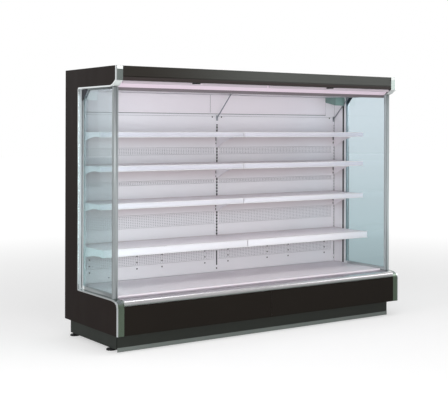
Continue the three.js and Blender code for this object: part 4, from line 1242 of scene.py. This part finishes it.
def lock_feet():
    """A six-sided lock nut, a washer and a thread on each levelling foot."""
    for place, depth in FOOT_DEPTHS:
        for label, side in SIDES:
            across = side * FOOT_ACROSS
            nut = disc((across, depth, NUT_RISE), 11.0, 7.0, "Z", 6, 0.6)
            washer = disc((across, depth, WASHER_RISE), 12.5, 1.6, "Z", 24, 0.3)
            thread = disc((across, depth, THREAD_RISE), 6.9, 0.9, "Z", 16, 0.2)
            turns = [copy_to(thread, (0, 0, step * THREAD_STEP)) for step in (1, 2)]
            fit(
                joined([nut, washer, thread, *turns]), f"foot_nut_{place}_{label}",
                "galvanised_steel", body=f"foot_{place}_{label}",
            )


STRAP_PLACES = (-BAY_MIDDLE, 0, BAY_MIDDLE)
ROOF_STRAP = 22, (126.0, 1998.05), (858.0, 1999.2)
ROOF_SCREWS, ROOF_SCREW_RISE = (150, 385, 600, 830), 1999.4
BACK_STRAP = 24, (859.6, 150.0), (860.3, 1990.0)
BACK_SCREWS, BACK_SCREW_FACE = (175, 480, 785, 1090, 1395, 1700, 1965), 860.3
BACK_BANDS, BAND_HALF, BAND_TALL = (156.0, 1984.0), 1246, 6


def strap(across, half, near, far, rounding):
    """A joint strap about a line, from its half width and its corners."""
    return block((across - half, *near), (across + half, *far), rounding)


def dress_roof():
    """Joint straps across the roof and their screws."""
    straps = []
    for across in STRAP_PLACES:
        straps.append(strap(across, *ROOF_STRAP, 0.4))
        for depth in ROOF_SCREWS:
            for off in (-13, 13):
                centre = (across + off, depth, ROOF_SCREW_RISE)
                straps.append(disc(centre, 3.6, 0.9, "Z", 12, 0.2))
    fit(joined(straps), "roof_straps", "white_foamed_tank")


def dress_back():
    """Joint straps down the back of the tank, a band along its top and foot, and screws."""
    straps = []
    for across in STRAP_PLACES:
        straps.append(strap(across, *BACK_STRAP, 0.3))
        for rise in BACK_SCREWS:
            for off in (-15, 15):
                centre = (across + off, BACK_SCREW_FACE, rise)
                straps.append(disc(centre, 3.8, 0.5, "Y", 12, 0.15))
    for rise in BACK_BANDS:
        low, high = (-BAND_HALF, 859.6, rise - BAND_TALL), (BAND_HALF, 860.2, rise + BAND_TALL)
        straps.append(block(low, high, 0.25))
    fit(joined(straps), "back_straps", "white_foamed_tank")


# Rounding in mm for the nodes whose names start so.
SOFT_EDGES = {
    "end_panel": 1.2, "edge_trim": 0.35, "fascia": 0.8, "front_panel": 0.9, "bumper_rail": 0.5,
    "plinth": 0.6, "price_rail": 0.4, "shelf": 0.3, "deck_pan": 0.4, "upper_cover": 0.3,
    "base_frame": 0.8, "blind_bar": 0.6, "glass_frame": 0.4, "canopy_lining": 0.4,
    "lamp_diffuser": 0.4, "foot": 0.6,
}


def soften_nodes():
    for name in NODES:
        for start, width in SOFT_EDGES.items():
            if name.startswith(start):
                soften(name, width)


fit_ends()
hang_rear_wall()
line_uprights()
plug_rear_wall()
hang_outlet()
lay_return_grille()
hang_blinds()
dress_upper_wall()
cover_corners()
cap_trims()
grip_blinds()
face_rails()
guard_fans()
lock_feet()
dress_roof()
dress_back()
soften_nodes()
